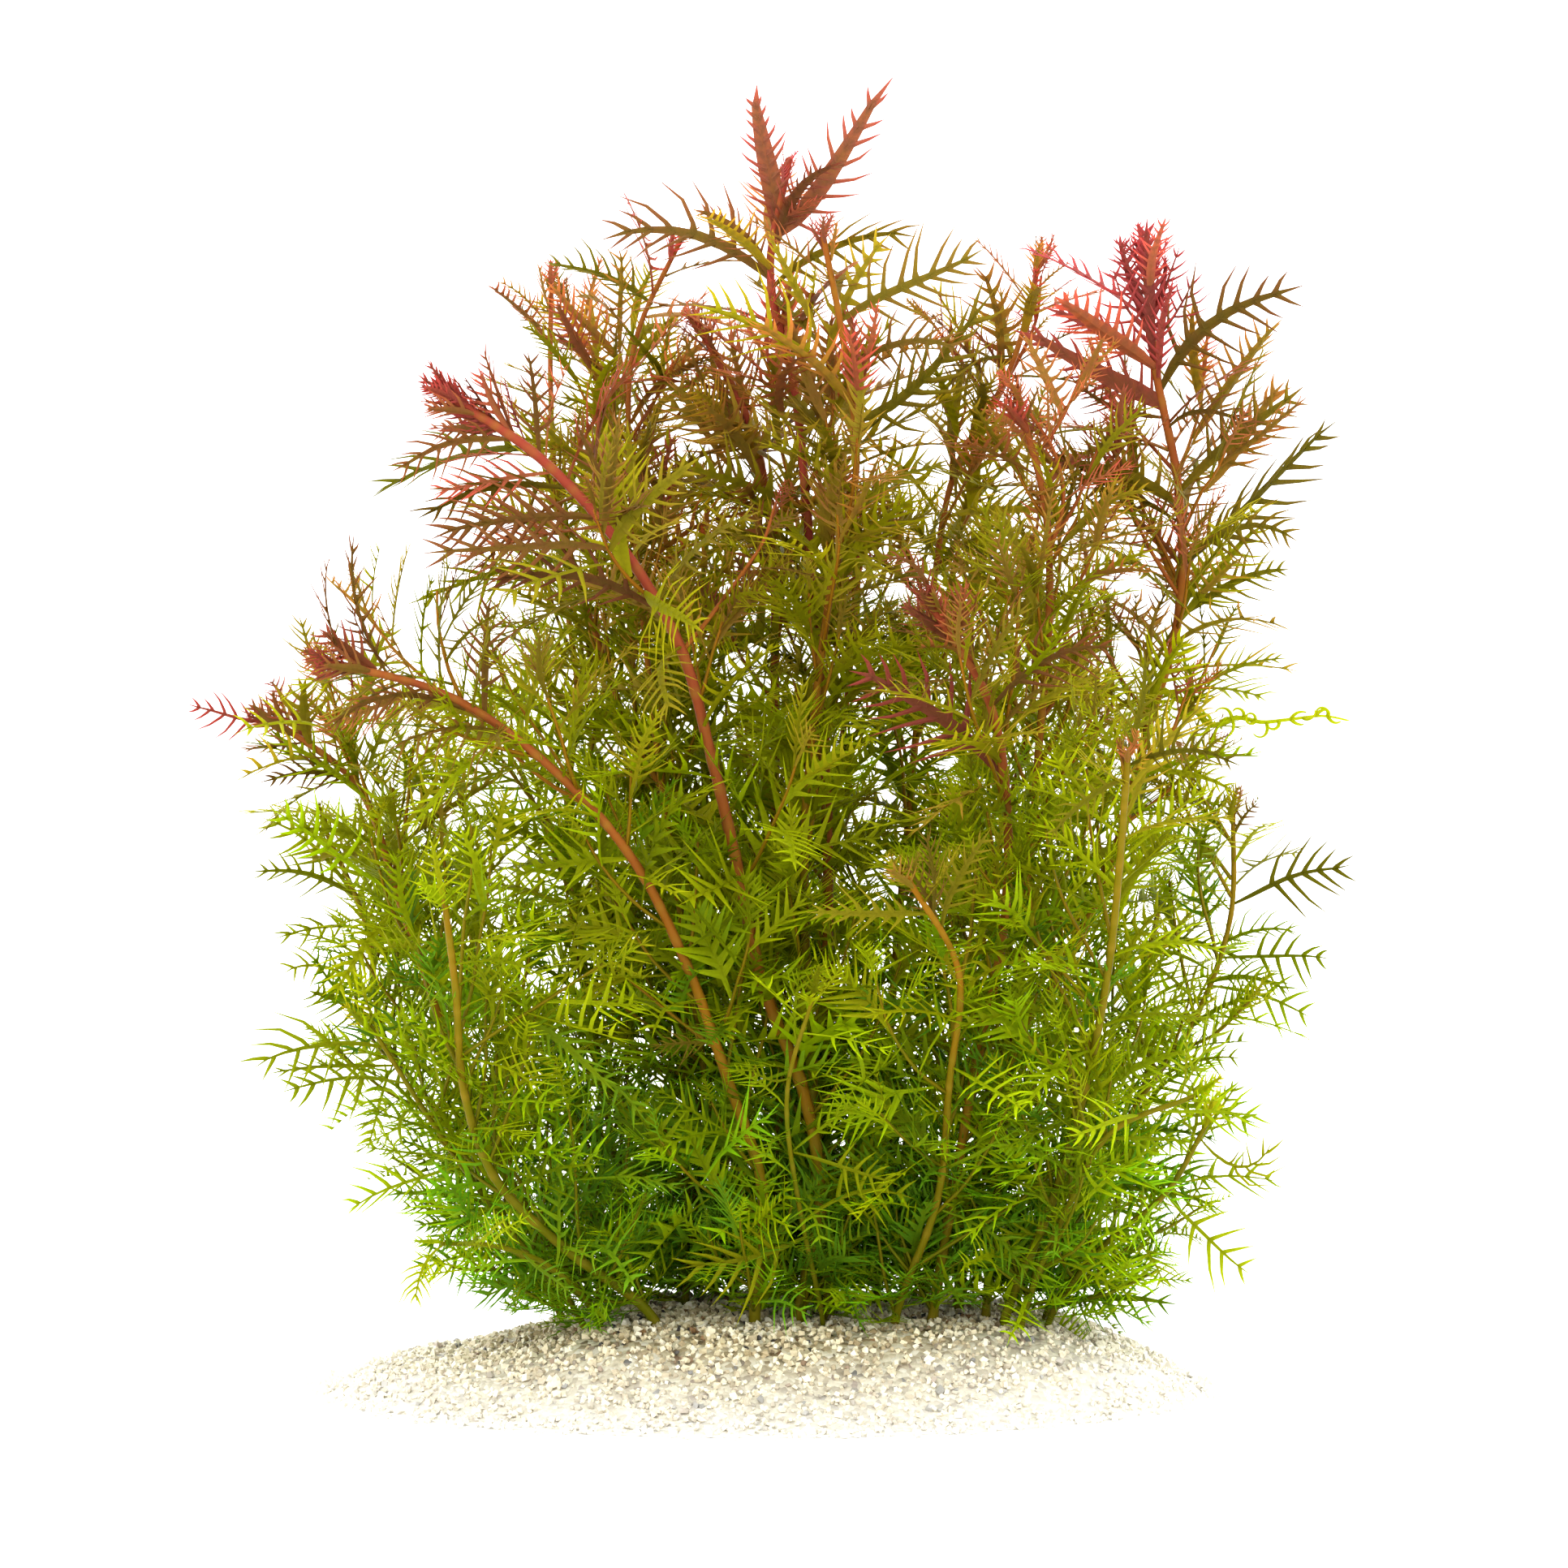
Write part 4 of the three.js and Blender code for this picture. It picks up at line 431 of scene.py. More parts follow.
class Heap:
    """Collects closed bodies and makes one mesh object of them."""

    def __init__(self):
        self.verts, self.tris, self.quads, self.data, self.n = [], [], [], {}, 0

    def add(self, verts, tris=None, quads=None, **data):
        verts = np.asarray(verts, float)
        if tris is not None and len(tris):
            self.tris.append(np.asarray(tris) + self.n)
        if quads is not None and len(quads):
            self.quads.append(np.asarray(quads) + self.n)
        self.verts.append(verts)
        for k, v in data.items():
            self.data.setdefault(k, []).append(
                np.broadcast_to(np.asarray(v, float), (len(verts),))
            )
        self.n += len(verts)

    def object(self, name, material, shade_smooth=False):
        verts = np.vstack(self.verts) * MM
        tris = np.vstack(self.tris) if self.tris else np.zeros((0, 3), int)
        quads = np.vstack(self.quads) if self.quads else np.zeros((0, 4), int)
        mesh = bpy.data.meshes.new(name)
        mesh.vertices.add(len(verts))
        mesh.vertices.foreach_set("co", verts.astype(np.float32).ravel())
        loops = np.r_[tris.ravel(), quads.ravel()].astype(np.int32)
        mesh.loops.add(len(loops))
        mesh.loops.foreach_set("vertex_index", loops)
        starts = np.r_[
            np.arange(len(tris)) * 3, len(tris) * 3 + np.arange(len(quads)) * 4
        ].astype(np.int32)
        mesh.polygons.add(len(starts))
        mesh.polygons.foreach_set("loop_start", starts)
        mesh.polygons.foreach_set(
            "use_smooth", np.full(len(starts), shade_smooth, bool)
        )
        mesh.update(calc_edges=True)
        mesh.validate()
        for k, v in self.data.items():
            a = mesh.attributes.new(k, "FLOAT", "POINT")
            a.data.foreach_set("value", np.concatenate(v).astype(np.float32))
        obj = bpy.data.objects.new(name, mesh)
        scene.collection.objects.link(obj)
        mesh.materials.append(material)
        return obj


def outward(verts, tris):
    """The same triangles, turned to face out of their closed body."""
    a, b, c = (verts[tris[:, i]] for i in range(3))
    if np.einsum("ij,ij->", a, np.cross(b, c)) < 0:
        tris = tris[:, ::-1]
    return tris


def tube(rings, tip=None, base_cap=True):
    """A closed body through rings of m points; tip closes it in a point."""
    rings = np.asarray(rings, float)
    n, m, _ = rings.shape
    verts = rings.reshape(-1, 3)
    tris = []
    for k in range(n - 1):
        for i in range(m):
            a, b = k * m + i, k * m + (i + 1) % m
            tris += [(a, b, b + m), (a, b + m, a + m)]
    if tip is not None:
        verts = np.vstack([verts, tip])
        for i in range(m):
            tris.append(((n - 1) * m + i, (n - 1) * m + (i + 1) % m, len(verts) - 1))
    else:
        for i in range(1, m - 1):
            tris.append(((n - 1) * m, (n - 1) * m + i, (n - 1) * m + i + 1))
    if base_cap:
        for i in range(1, m - 1):
            tris.append((0, i + 1, i))
    return verts, outward(verts - verts.mean(0), np.array(tris))


# ---------------------------------------------------------------- the surface of the heap

SAND_CENTRE = (-1.0, -2.0)
SAND_HALF = (87.0, 60.0)
SAND_TOP = 15.6
RIDGE = np.array(
    [
        (-87, 0.05), (-80, 0.24), (-68, 0.42), (-56, 0.5), (-45, 0.66), (-36, 0.9),
        (-26, 1), (42, 1), (56, 0.86), (68, 0.62), (78, 0.34), (86, 0.05),
    ]
)


def sand_height(x, y):
    across = (x - SAND_CENTRE[0]) / SAND_HALF[0]
    half = SAND_HALF[1] * np.sqrt(np.maximum(1 - across**2, 0.02))
    t = np.minimum(np.abs(y - SAND_CENTRE[1]) / half, 1)
    z = SAND_TOP * np.interp(x, RIDGE[:, 0], RIDGE[:, 1]) * (1 - smooth(0.42, 1.06, t))
    return np.maximum(z, 0.9)


# ---------------------------------------------------------------- one leaf
# A leaf lies along x from 0 to 1, s is sideways and n is its upper side.


def leaf_template(rng, detail, lobes, lobe_long, rachis_wide, lobe_wide, fold, spread, first, web):
    """A flat winged midrib with long needle-pointed lobes on each side, webbed at their feet."""
    parts = []
    # the midrib, widest a third of the way up, running out in a long point
    xs = np.array([0.0, 0.06, 0.16, 0.3, 0.45, 0.6, 0.74, 0.86])
    wide = rachis_wide * np.array([0.45, 0.6, 0.86, 1.0, 0.95, 0.8, 0.62, 0.42])
    thick = 0.010 * np.array([1.1, 1.0, 0.9, 0.85, 0.75, 0.65, 0.5, 0.4])
    wave = 0.014 * np.sin(xs * rng.uniform(4, 7) + rng.uniform(0, 6))
    keep = {2: slice(None), 1: [0, 2, 4, 5, 7], 0: [0, 3, 6]}[detail]
    rings = []
    for x, w, t, o in zip(xs[keep], wide[keep], thick[keep], wave[keep]):
        droop = 0.25 * w * math.tan(fold)
        ring = [(x, o + w / 2, droop), (x, o, t), (x, o - w / 2, droop)]
        rings.append(ring + [(x, o, -t)] * (detail == 2))
    v, f = tube(rings, tip=(1.0, wave[-1] + 0.02 * rng.normal(), 0.0))
    edge = np.r_[np.tile([0.25, 0.0, 0.25, 0.0][: len(rings[0])], len(rings)), 0.9]
    parts.append((v, f, edge))
    # lobes
    span = 0.9 - first
    gap = span / lobes
    steps = {
        2: ((0.0, 0), (0.13, 1.2), (0.5, 0.8)),
        1: ((0.0, 0), (0.28, 1.05)),
        0: ((0.0, 0),),
    }[detail]
    lobe_wide = lobe_wide * (1.5, 1.12, 1.0)[detail]
    for side in (1, -1):
        shift = rng.uniform(-0.35, 0.35) * gap
        for k in range(lobes):
            share = (k + 0.5) / lobes
            x0 = first + gap * (k + 0.5) + shift * (1 - share) + rng.normal() * gap * 0.08
            size = 0.62 + 0.38 * math.sin(math.pi * min(share * 1.15 + 0.12, 1.0) ** 0.9)
            if share > 0.6:
                size *= 1 - 0.38 * (share - 0.6) / 0.4
            length = lobe_long * size * rng.uniform(0.84, 1.14)
            turn = spread * (1.12 - 0.42 * share) + rng.normal() * 0.08
            bow = rng.uniform(0.05, 0.34)  # curves forward
            a0, a1 = turn + bow, turn - bow
            w_r = np.interp(x0, xs, wide) * 0.5
            o = np.interp(x0, xs, wave)
            foot = np.array([x0, o + side * w_r * 0.1])
            p1 = foot + 0.5 * length * np.array([math.cos(a0), side * math.sin(a0)])
            p2 = p1 + 0.55 * length * np.array([math.cos(a1), side * math.sin(a1)])
            lift = fold + rng.normal() * 0.14
            rings = []
            for t, w in steps:
                foot_ring = t == 0.0
                if foot_ring:
                    w = min(gap * 0.9, lobe_wide * web)
                else:
                    w = w * lobe_wide
                    t = t + w_r * 0.5 / length
                h = 0.008 * (1 - 0.7 * t)
                p = (1 - t) ** 2 * foot + 2 * t * (1 - t) * p1 + t * t * p2
                d = (1 - t) * (p1 - foot) + t * (p2 - p1)
                d /= np.linalg.norm(d)
                across = np.array([-d[1], d[0]])
                up = abs(p[1] - o) * math.tan(lift)
                l, r = p + across * w / 2, p - across * w / 2
                if foot_ring:  # the web runs along the midrib
                    l = p + np.array([w / 2, 0.0])
                    r = p - np.array([w / 2, 0.0])
                    if side > 0:
                        l, r = r, l
                rings.append([(l[0], l[1], up), (p[0], p[1], up + h), (r[0], r[1], up)])
            up = abs(p2[1] - o) * math.tan(lift)
            v, f = tube(rings, tip=(p2[0], p2[1], up + rng.normal() * 0.015))
            edge = np.r_[np.repeat([0.1, 0.4, 0.65, 0.85][: len(rings)], 3), 1.0]
            parts.append((v, f, edge))
    n = 0
    verts, tris, edges = [], [], []
    for v, f, e in parts:
        verts.append(v)
        tris.append(f + n)
        edges.append(e)
        n += len(v)
    return np.vstack(verts), np.vstack(tris), np.concatenate(edges)


def templates(seed, count, **ranges):
    """count leaves, each in three levels of detail."""
    rng = np.random.default_rng(seed)
    out = []
    for _ in range(count):
        pick = {k: rng.uniform(*v) for k, v in ranges.items()}
        pick["lobes"] = int(round(pick["lobes"]))
        own = rng.integers(1 << 30)
        out.append([leaf_template(np.random.default_rng(own), d, **pick) for d in (0, 1, 2)])
    return out


FULL = templates(
    11, 24, lobes=(5.8, 8.0), lobe_long=(0.30, 0.42), rachis_wide=(0.046, 0.070),
    lobe_wide=(0.020, 0.025), fold=(0.0, 0.7), spread=(0.72, 1.06), first=(0.12, 0.22), web=(2.2, 3.0),
)
FINE = templates(
    12, 24, lobes=(3.8, 5.6), lobe_long=(0.31, 0.46), rachis_wide=(0.034, 0.046),
    lobe_wide=(0.025, 0.031), fold=(0.0, 0.8), spread=(0.68, 1.12), first=(0.2, 0.34), web=(1.3, 1.9),
)
SPIKY = templates(
    15, 6, lobes=(8.5, 10.4), lobe_long=(0.22, 0.29), rachis_wide=(0.062, 0.082),
    lobe_wide=(0.024, 0.029), fold=(0.0, 0.3), spread=(0.66, 0.86), first=(0.03, 0.07), web=(1.5, 2.0),
)
BLADE = templates(
    17, 6, lobes=(8.6, 10.4), lobe_long=(0.23, 0.30), rachis_wide=(0.135, 0.165),
    lobe_wide=(0.021, 0.025), fold=(0.0, 0.3), spread=(0.72, 0.98), first=(0.04, 0.09), web=(2.8, 3.6),
)
BROAD = templates(
    16, 16, lobes=(6.4, 8.4), lobe_long=(0.27, 0.37), rachis_wide=(0.074, 0.104),
    lobe_wide=(0.021, 0.026), fold=(0.0, 0.5), spread=(0.70, 0.98), first=(0.10, 0.20), web=(2.6, 3.4),
)
YOUNG = templates(
    13, 16, lobes=(3.8, 5.4), lobe_long=(0.44, 0.60), rachis_wide=(0.13, 0.19),
    lobe_wide=(0.042, 0.054), fold=(0.0, 0.6), spread=(0.62, 0.88), first=(0.12, 0.22), web=(2.0, 2.8),
)
WIDE = templates(
    14, 16, lobes=(7.0, 9.0), lobe_long=(0.23, 0.33), rachis_wide=(0.088, 0.112),
    lobe_wide=(0.019, 0.023), fold=(0.0, 0.35), spread=(0.74, 1.0), first=(0.10, 0.18), web=(2.8, 3.6),
)


def bend_leaf(template, p0, p1, p2, normal, length):
    """The template laid along the curve p0, p1, p2, with its upper side towards normal."""
    v = template[0]
    x = v[:, 0]
    u = np.clip(x, 0, 1)[:, None]
    base = (1 - u) ** 2 * p0 + 2 * u * (1 - u) * p1 + u**2 * p2
    t = unit((1 - u) * (p1 - p0) + u * (p2 - p1))
    base = base + t * (np.maximum(x - 1, 0) * length)[:, None]
    side = unit(np.cross(normal, t))
    up = np.cross(t, side)
    return base + side * (v[:, 1] * length)[:, None] + up * (v[:, 2] * length)[:, None]


def leaf_at(heap, rng, at, axis, out, length, rise, arch, tint, kind, fine, limit=1.0, roll=0.3, sway=0.25):
    """A leaf from a point on a stem: axis is the stem's direction and out the way off it."""
    cross = np.cross(axis, out)
    d0 = math.cos(rise) * axis + math.sin(rise) * out
    d1 = math.cos(rise + arch) * axis + math.sin(rise + arch) * out
    d1 = unit(d1 + cross * rng.normal() * sway)
    p0 = at + out * 0.3
    p1 = p0 + d0 * length * 0.5
    p2 = p1 + d1 * length * 0.5
    if outside(p2) > limit:
        return False
    ground = float(sand_height(p2[0], p2[1])) + 0.5
    if p2[2] < ground:
        p2 = np.array([p2[0], p2[1], ground])
        p1 = np.array([p1[0], p1[1], max(p1[2], ground + 0.8)])
    normal = math.sin(rise) * axis - math.cos(rise) * out
    a = rng.normal() * roll
    normal = math.cos(a) * normal + math.sin(a) * np.cross(d0, normal)
    detail = detail_at((p1 + p2) / 2, fine)
    count["detail"][detail] += 1
    template = kind[rng.integers(len(kind))][detail]
    put_leaf(heap, rng, template, p0, p1, p2, normal, length, tint)
    return True


def put_leaf(heap, rng, template, p0, p1, p2, normal, length, tint, tone=None):
    v = bend_leaf(template, p0, p1, p2, normal, length)
    if tone is None:
        tone = 0.5 + (rng.uniform() - 0.5) * (0.82 - 0.17 * float(smooth(120, 165, p1[2])))
        # painted shade: high up, leaves at the front of the bush, where the key light falls, get a darker tone
        tone -= 0.2 * float(1 - smooth(-44, -32, p1[1])) * float(smooth(125, 150, p1[2]))
    heap.add(
        v,
        tris=template[1],
        edge=template[2],
        tint=np.clip(tint, 0, 1),
        leaf=tone,
    )


# ---------------------------------------------------------------- a shoot


def stem_body(heap, rng, line, dist, r0, r1, nodes, red, sides=8):
    tangent, a, b = frames_along(line)
    total = dist[-1]
    share = dist / total
    radius = r0 + (r1 - r0) * share
    if len(nodes):
        near = np.exp(-(((dist[:, None] - nodes[None, :]) / 0.75) ** 2)).sum(1)
        radius = radius * (0.965 + 0.13 * np.minimum(near, 1))
    else:
        near = np.zeros(len(dist))
    turn = np.arange(sides) * 2 * math.pi / sides
    wobble = 1 + 0.025 * rng.normal(size=(len(line), sides))
    ring = (
        line[:, None]
        + (radius[:, None] * np.cos(turn) * wobble)[:, :, None] * a[:, None]
        + (radius[:, None] * np.sin(turn) * wobble)[:, :, None] * b[:, None]
    )
    n = len(line)
    verts = ring.reshape(-1, 3)
    i = np.arange(sides)
    k = np.arange(n - 1)[:, None] * sides
    quads = np.stack(
        [k + i, k + (i + 1) % sides, k + sides + (i + 1) % sides, k + sides + i], -1
    ).reshape(-1, 4)
    tip = line[-1] + tangent[-1] * radius[-1] * 0.9
    foot = line[0] - tangent[0] * radius[0] * 0.3
    verts = np.vstack([verts, foot, tip])
    tris = [((j + 1) % sides, j, n * sides) for j in range(sides)]
    tris += [
        ((n - 1) * sides + j, (n - 1) * sides + (j + 1) % sides, n * sides + 1)
        for j in range(sides)
    ]
    rep = lambda x: np.r_[np.repeat(x, sides), x[0], x[-1]]
    heap.add(
        verts,
        tris=np.array(tris),
        quads=quads,
        up=rep(line[:, 2]),
        share=rep(share),
        knot=rep(np.minimum(near, 1)),
        red=red,
    )


def leaf_places(total, start, top_gap=1.0, full_gap=6.6, crown=12.0):
    """Distances of the leaves from the growing tip down, close together near the tip."""
    places, a = [], 0.6
    while a < total - start:
        places.append(a)
        a += top_gap + (full_gap - top_gap) * (1 - math.exp(-((a / (1.2 * crown)) ** 1.5)))
    return np.array(places)


# how far the leaves reach, by height: left, right, and to the front or back
REACH = np.array(
    [
        (0, -44, 72, 42), (12, -50, 80, 46), (28, -84, 94, 53), (50, -94, 98, 64), (80, -103, 108, 74),
        (110, -106, 104, 79), (140, -119, 112, 78), (170, -86, 104, 68),
        (200, -70, 107, 56), (230, -45, 103, 50), (262, -22, 30, 34),
    ],
    float,
)


def outside(p):
    """Over 1 where a point is past the outer face of the bush."""
    left, right, deep = (np.interp(p[2], REACH[:, 0], REACH[:, k]) for k in (1, 2, 3))
    middle, half = (left + right) / 2, (right - left) / 2
    return math.hypot((p[0] - middle) / half, p[1] / deep)


def detail_at(p, fine):
    """More detail outside and high up, less deep inside the bush."""
    depth = outside(p) + smooth(90, 170, p[2]) * 0.5 - 0.12 * fine
    if p[1] < 0:
        depth += 0.06
    return 2 if depth > 0.92 else 1 if depth > 0.6 else 0


def clothe(heap, rng, line, dist, habit, start, longest, gap=5.5, shift=0.0, twig=False, bare=0.0, shoot="", grip=0.0):
    """Leaves in a spiral down a stem from its tip."""
    red, _, _, fine = habit
    total = dist[-1]
    tangent, a, b = frames_along(line)
    azimuth = rng.uniform(0, 2 * math.pi)
    spin = rng.choice([-1, 1]) * math.radians(137.5)
    crown = 9.0 if twig else CROWN.get(shoot, float(np.interp(total, (60, 200), (2.5, 6.5))))
    brush = 1.0 if twig else BRUSH.get(shoot, 1.0)
    sparse_above, sparse = SPARSE.get(shoot, (999, 0))
    top_gap = 1.7 + 0.9 * float(smooth(120, 170, line[-1, 2])) if twig else 0.7
    for below in leaf_places(total, start, top_gap, gap, max(crown, 6.0) * (1 + 1.1 * max(brush - 1, 0))):
        t = total - below
        at = np.array([np.interp(t, dist, line[:, k]) for k in range(3)])
        j = min(int(np.searchsorted(dist, t)), len(dist) - 1)
        azimuth += spin + rng.normal() * 0.18
        if twig:
            grown = 1 - math.exp(-(below + 1.5) / (6.0 - 1.6 * float(smooth(120, 170, at[2]))))
        else:
            young = float(np.interp(total, (60, 200), (8.0, 5.0))) + (0.42 + 0.45 * (brush - 1)) * below
            young = min(young, 0.42 * longest * min(brush, 1.15)) / longest
            grown = young + (1 - young) * float(smooth(0.7 * crown, 2.0 * crown, below))
        if at[2] > sparse_above and below > 14 and rng.uniform() < sparse:
            continue
        length = longest * grown * rng.uniform(0.84, 1.1)
        if below < bare:
            length *= 0.6
        low = 1 - smooth(45, 110, at[2])
        open_ = 1 - math.exp(-below / 8.0) if twig else float(smooth(0.1 * crown, 2.2 * crown, below))
        rise = math.radians((6 if twig else 17 + 5 * (brush - 1)) + (47 if twig else 38) * open_ + rng.normal() * 6 * brush)
        arch = math.radians(3 + 30 * grown * smooth(2, 18, below) + rng.normal() * 10)
        if below > 12 and low > 0.5:
            rise += math.radians(rng.uniform(-5, 18))
        tint = leaf_tint(rng, at[2], below * (1.5 if twig else 1.0), red, 0.8 if twig else TIP_TINT.get(shoot, 0.98)) + shift
        if not twig and red > 0.6:
            tint += 0.09 * float(smooth(125, 150, at[2])) * max(1 - float(smooth(-30, -20, at[1])), float(smooth(60, 72, at[0])))
        # the inner leaves near the foot get little light and stay deep green
        tint -= 0.06 * float(1 - smooth(35, 62, abs(at[0] - 3))) * float(1 - smooth(65, 100, at[2]))
        least = 0.55 * float(smooth(90, 130, at[2])) - 0.2 + 0.17 * float(smooth(130, 175, at[2]))
        if tint < least:  # high up, even a green leaf is olive
            tint = least - 0.3 * (least - tint)
        if below < 0.95 * crown and not twig:
            kind = YOUNG
        else:
            high = float(smooth(115, 165, at[2]))
            kind = FINE if rng.uniform() < fine * 0.45 * (1 - 0.75 * high) + 0.55 * low else FULL
            if kind is FULL and rng.uniform() < 0.6 * float(smooth(145, 190, at[2])):
                kind = BROAD
        limit = 1.0 if twig else 1.02 + 0.16 * math.exp(-below / 25)
        if not twig and below < 45:  # the tips may stand out of the bush
            limit = max(limit, outside(at) + 0.16)
        for _ in range(6):  # a leaf that would stick out of the bush is turned
            out = math.cos(azimuth) * a[j] + math.sin(azimuth) * b[j]
            if leaf_at(heap, rng, at + out * grip, tangent[j], out, length, rise, arch, tint, kind, twig, limit):
                break
            azimuth += 1.3
            length *= 0.94
            limit += 0.015


def traced_leaf(heap, rng, broad, p0, p1, p2, face, kind, tint):
    """A leaf through three given points; face says how flat it lies to the front."""
    p0, p1, p2 = (np.array(p, float) for p in (p0, p1, p2))
    control = 2 * p1 - (p0 + p2) / 2
    length = (2 * np.linalg.norm(p2 - p0) + np.linalg.norm(control - p0) + np.linalg.norm(p2 - control)) / 3
    t = unit(p2 - p0)
    flat = unit(np.array([0.0, -1.0, 0.0]) + t * t[1])
    edge = unit(np.cross(t, flat)) * rng.choice([-1, 1])
    normal = unit(face * flat + (1 - face) * edge)
    templates_of = {"N": FINE, "C": SPIKY, "B": BLADE}.get(kind, WIDE if broad else FULL)
    template = templates_of[rng.integers(len(templates_of))][2]
    count["detail"][2] += 1
    if p1[2] > 185 and 0.34 < tint < 0.6:
        tint += 0.12
    # painted shade: olive and brown leaves traced on the face of the bush, where the key light falls, get a darker
    # tone; the spiky crown leaves get a slightly lighter one
    painted_shade_offset = -0.24 if 0.44 < tint < 0.8 else 0.1 if kind == "C" else 0.0
    put_leaf(heap, rng, template, p0, control, p2, normal, length, tint, painted_shade_offset + 0.35 * rng.uniform())


def curled_leaf(heap, rng, points, tint):
    """A wilted leaf: its midrib wanders and its lobes curl up."""
    line, along = smooth_line(points, 1.2)
    tangent, a, b = frames_along(line)

    def thread(path, r0, r1, e0):
        t_, s_, u_ = frames_along(path)
        n = len(path)
        r = np.linspace(r0, r1, n)
        turn = np.arange(4) * math.pi / 2
        rings = path[:, None] + (r[:, None] * np.cos(turn))[..., None] * s_[:, None] + (r[:, None] * np.sin(turn))[..., None] * u_[:, None]
        v, f = tube(rings[:-1], tip=path[-1])
        heap.add(v, tris=f, edge=np.r_[np.repeat(np.linspace(e0, 0.8, n - 1), 4), 0.9], tint=tint, leaf=0.8)

    thread(line, 0.75, 0.18, 0.2)
    for k in range(3, len(line) - 4, 2):
        for way in (1, -1):
            if rng.uniform() < 0.3:
                continue
            size = rng.uniform(5.0, 9.5) * (1 - 0.55 * k / len(line))
            turn = rng.uniform(1.6, 4.6) * rng.choice([-1, 1])
            d = unit(0.5 * tangent[k] + way * unit(0.9 * a[k] + 0.5 * rng.normal() * b[k]))
            axis = unit(b[k] + 0.5 * rng.normal(size=3))
            path = [line[k]]
            for j in range(9):
                angle = turn / 9
                d = unit(d * math.cos(angle) + np.cross(axis, d) * math.sin(angle))
                path.append(path[-1] + d * size / 9 * (1.25 - 0.06 * j))
            thread(np.array(path), 0.42, 0.12, 0.5)


def leaf_tint(rng, z, below, red, at_tip=0.98):
    """0 deep green, 0.3 grass green, 0.5 olive, 0.7 brown, 0.85 red-brown, 1 pink."""
    tint = 0.10 + 0.16 * smooth(15, 90, z) + 0.44 * red * smooth(93, 218, z)
    tint += 0.21 * (1 - red) * smooth(80, 200, z)
    tip = math.exp(-below / (9.0 + 12.0 * red)) * red
    tint = tint + (at_tip - tint) * tip * 0.95
    return tint + rng.normal() * 0.07


def side_line(rng, line, dist, t, length, lean):
    """A side twig: it leaves the stem at a slant and turns up."""
    tangent, a, b = frames_along(line)
    j = min(int(np.searchsorted(dist, t)), len(dist) - 1)
    best = None
    for _ in range(5):
        turn = rng.uniform(0, 2 * math.pi)
        out = math.cos(turn) * a[j] + math.sin(turn) * b[j]
        p = line[j] + out * 0.5
        d = math.cos(lean) * tangent[j] + math.sin(lean) * out
        points = [p]
        for k in range(4):
            d = unit(d + np.array([0, 0, 0.16]) + rng.normal(size=3) * 0.09)
            p = p + d * length / 4
            low = float(sand_height(p[0], p[1])) + 1.3
            if p[2] < low:
                p = np.array([p[0], p[1], low])
            points.append(p)
        over = outside(points[-1])
        if best is None or over < best[0]:
            best = over, points
        if over < 0.86:
            break
    return smooth_line(best[1], 1.5)


# ---------------------------------------------------------------- materials


def new_material(name):
    m = bpy.data.materials.new(name)
    m.use_nodes = True
    nt = m.node_tree
    nt.nodes.clear()
    return m, nt


def node(nt, kind, **values):
    n = nt.nodes.new(kind)
    for k, v in values.items():
        if hasattr(n, k):
            setattr(n, k, v)
        else:
            n.inputs[k].default_value = v
    return n


def ramp(nt, stops, mode="LINEAR"):
    n = nt.nodes.new("ShaderNodeValToRGB")
    n.color_ramp.interpolation = mode
    e = n.color_ramp.elements
    while len(e) < len(stops):
        e.new(0.5)
    for x, (at, colour) in zip(e, stops):
        x.position = at
        x.color = (*colour, 1)
    return n


def attribute(nt, name):
    n = nt.nodes.new("ShaderNodeAttribute")
    n.attribute_name = name
    return n


def maths(nt, how, a, b, clamp=False):
    n = nt.nodes.new("ShaderNodeMath")
    n.operation = how
    n.use_clamp = clamp
    for i, x in enumerate((a, b)):
        if isinstance(x, (int, float)):
            n.inputs[i].default_value = x
        else:
            nt.links.new(x, n.inputs[i])
    return n.outputs[0]


def mix_colour(nt, how, factor, a, b):
    n = nt.nodes.new("ShaderNodeMix")
    n.data_type = "RGBA"
    n.blend_type = how
    for i, x in ((0, factor), (6, a), (7, b)):
        if isinstance(x, (int, float)):
            n.inputs[i].default_value = x
        elif isinstance(x, tuple):
            n.inputs[i].default_value = (*x, 1)
        else:
            nt.links.new(x, n.inputs[i])
    return n.outputs[2]


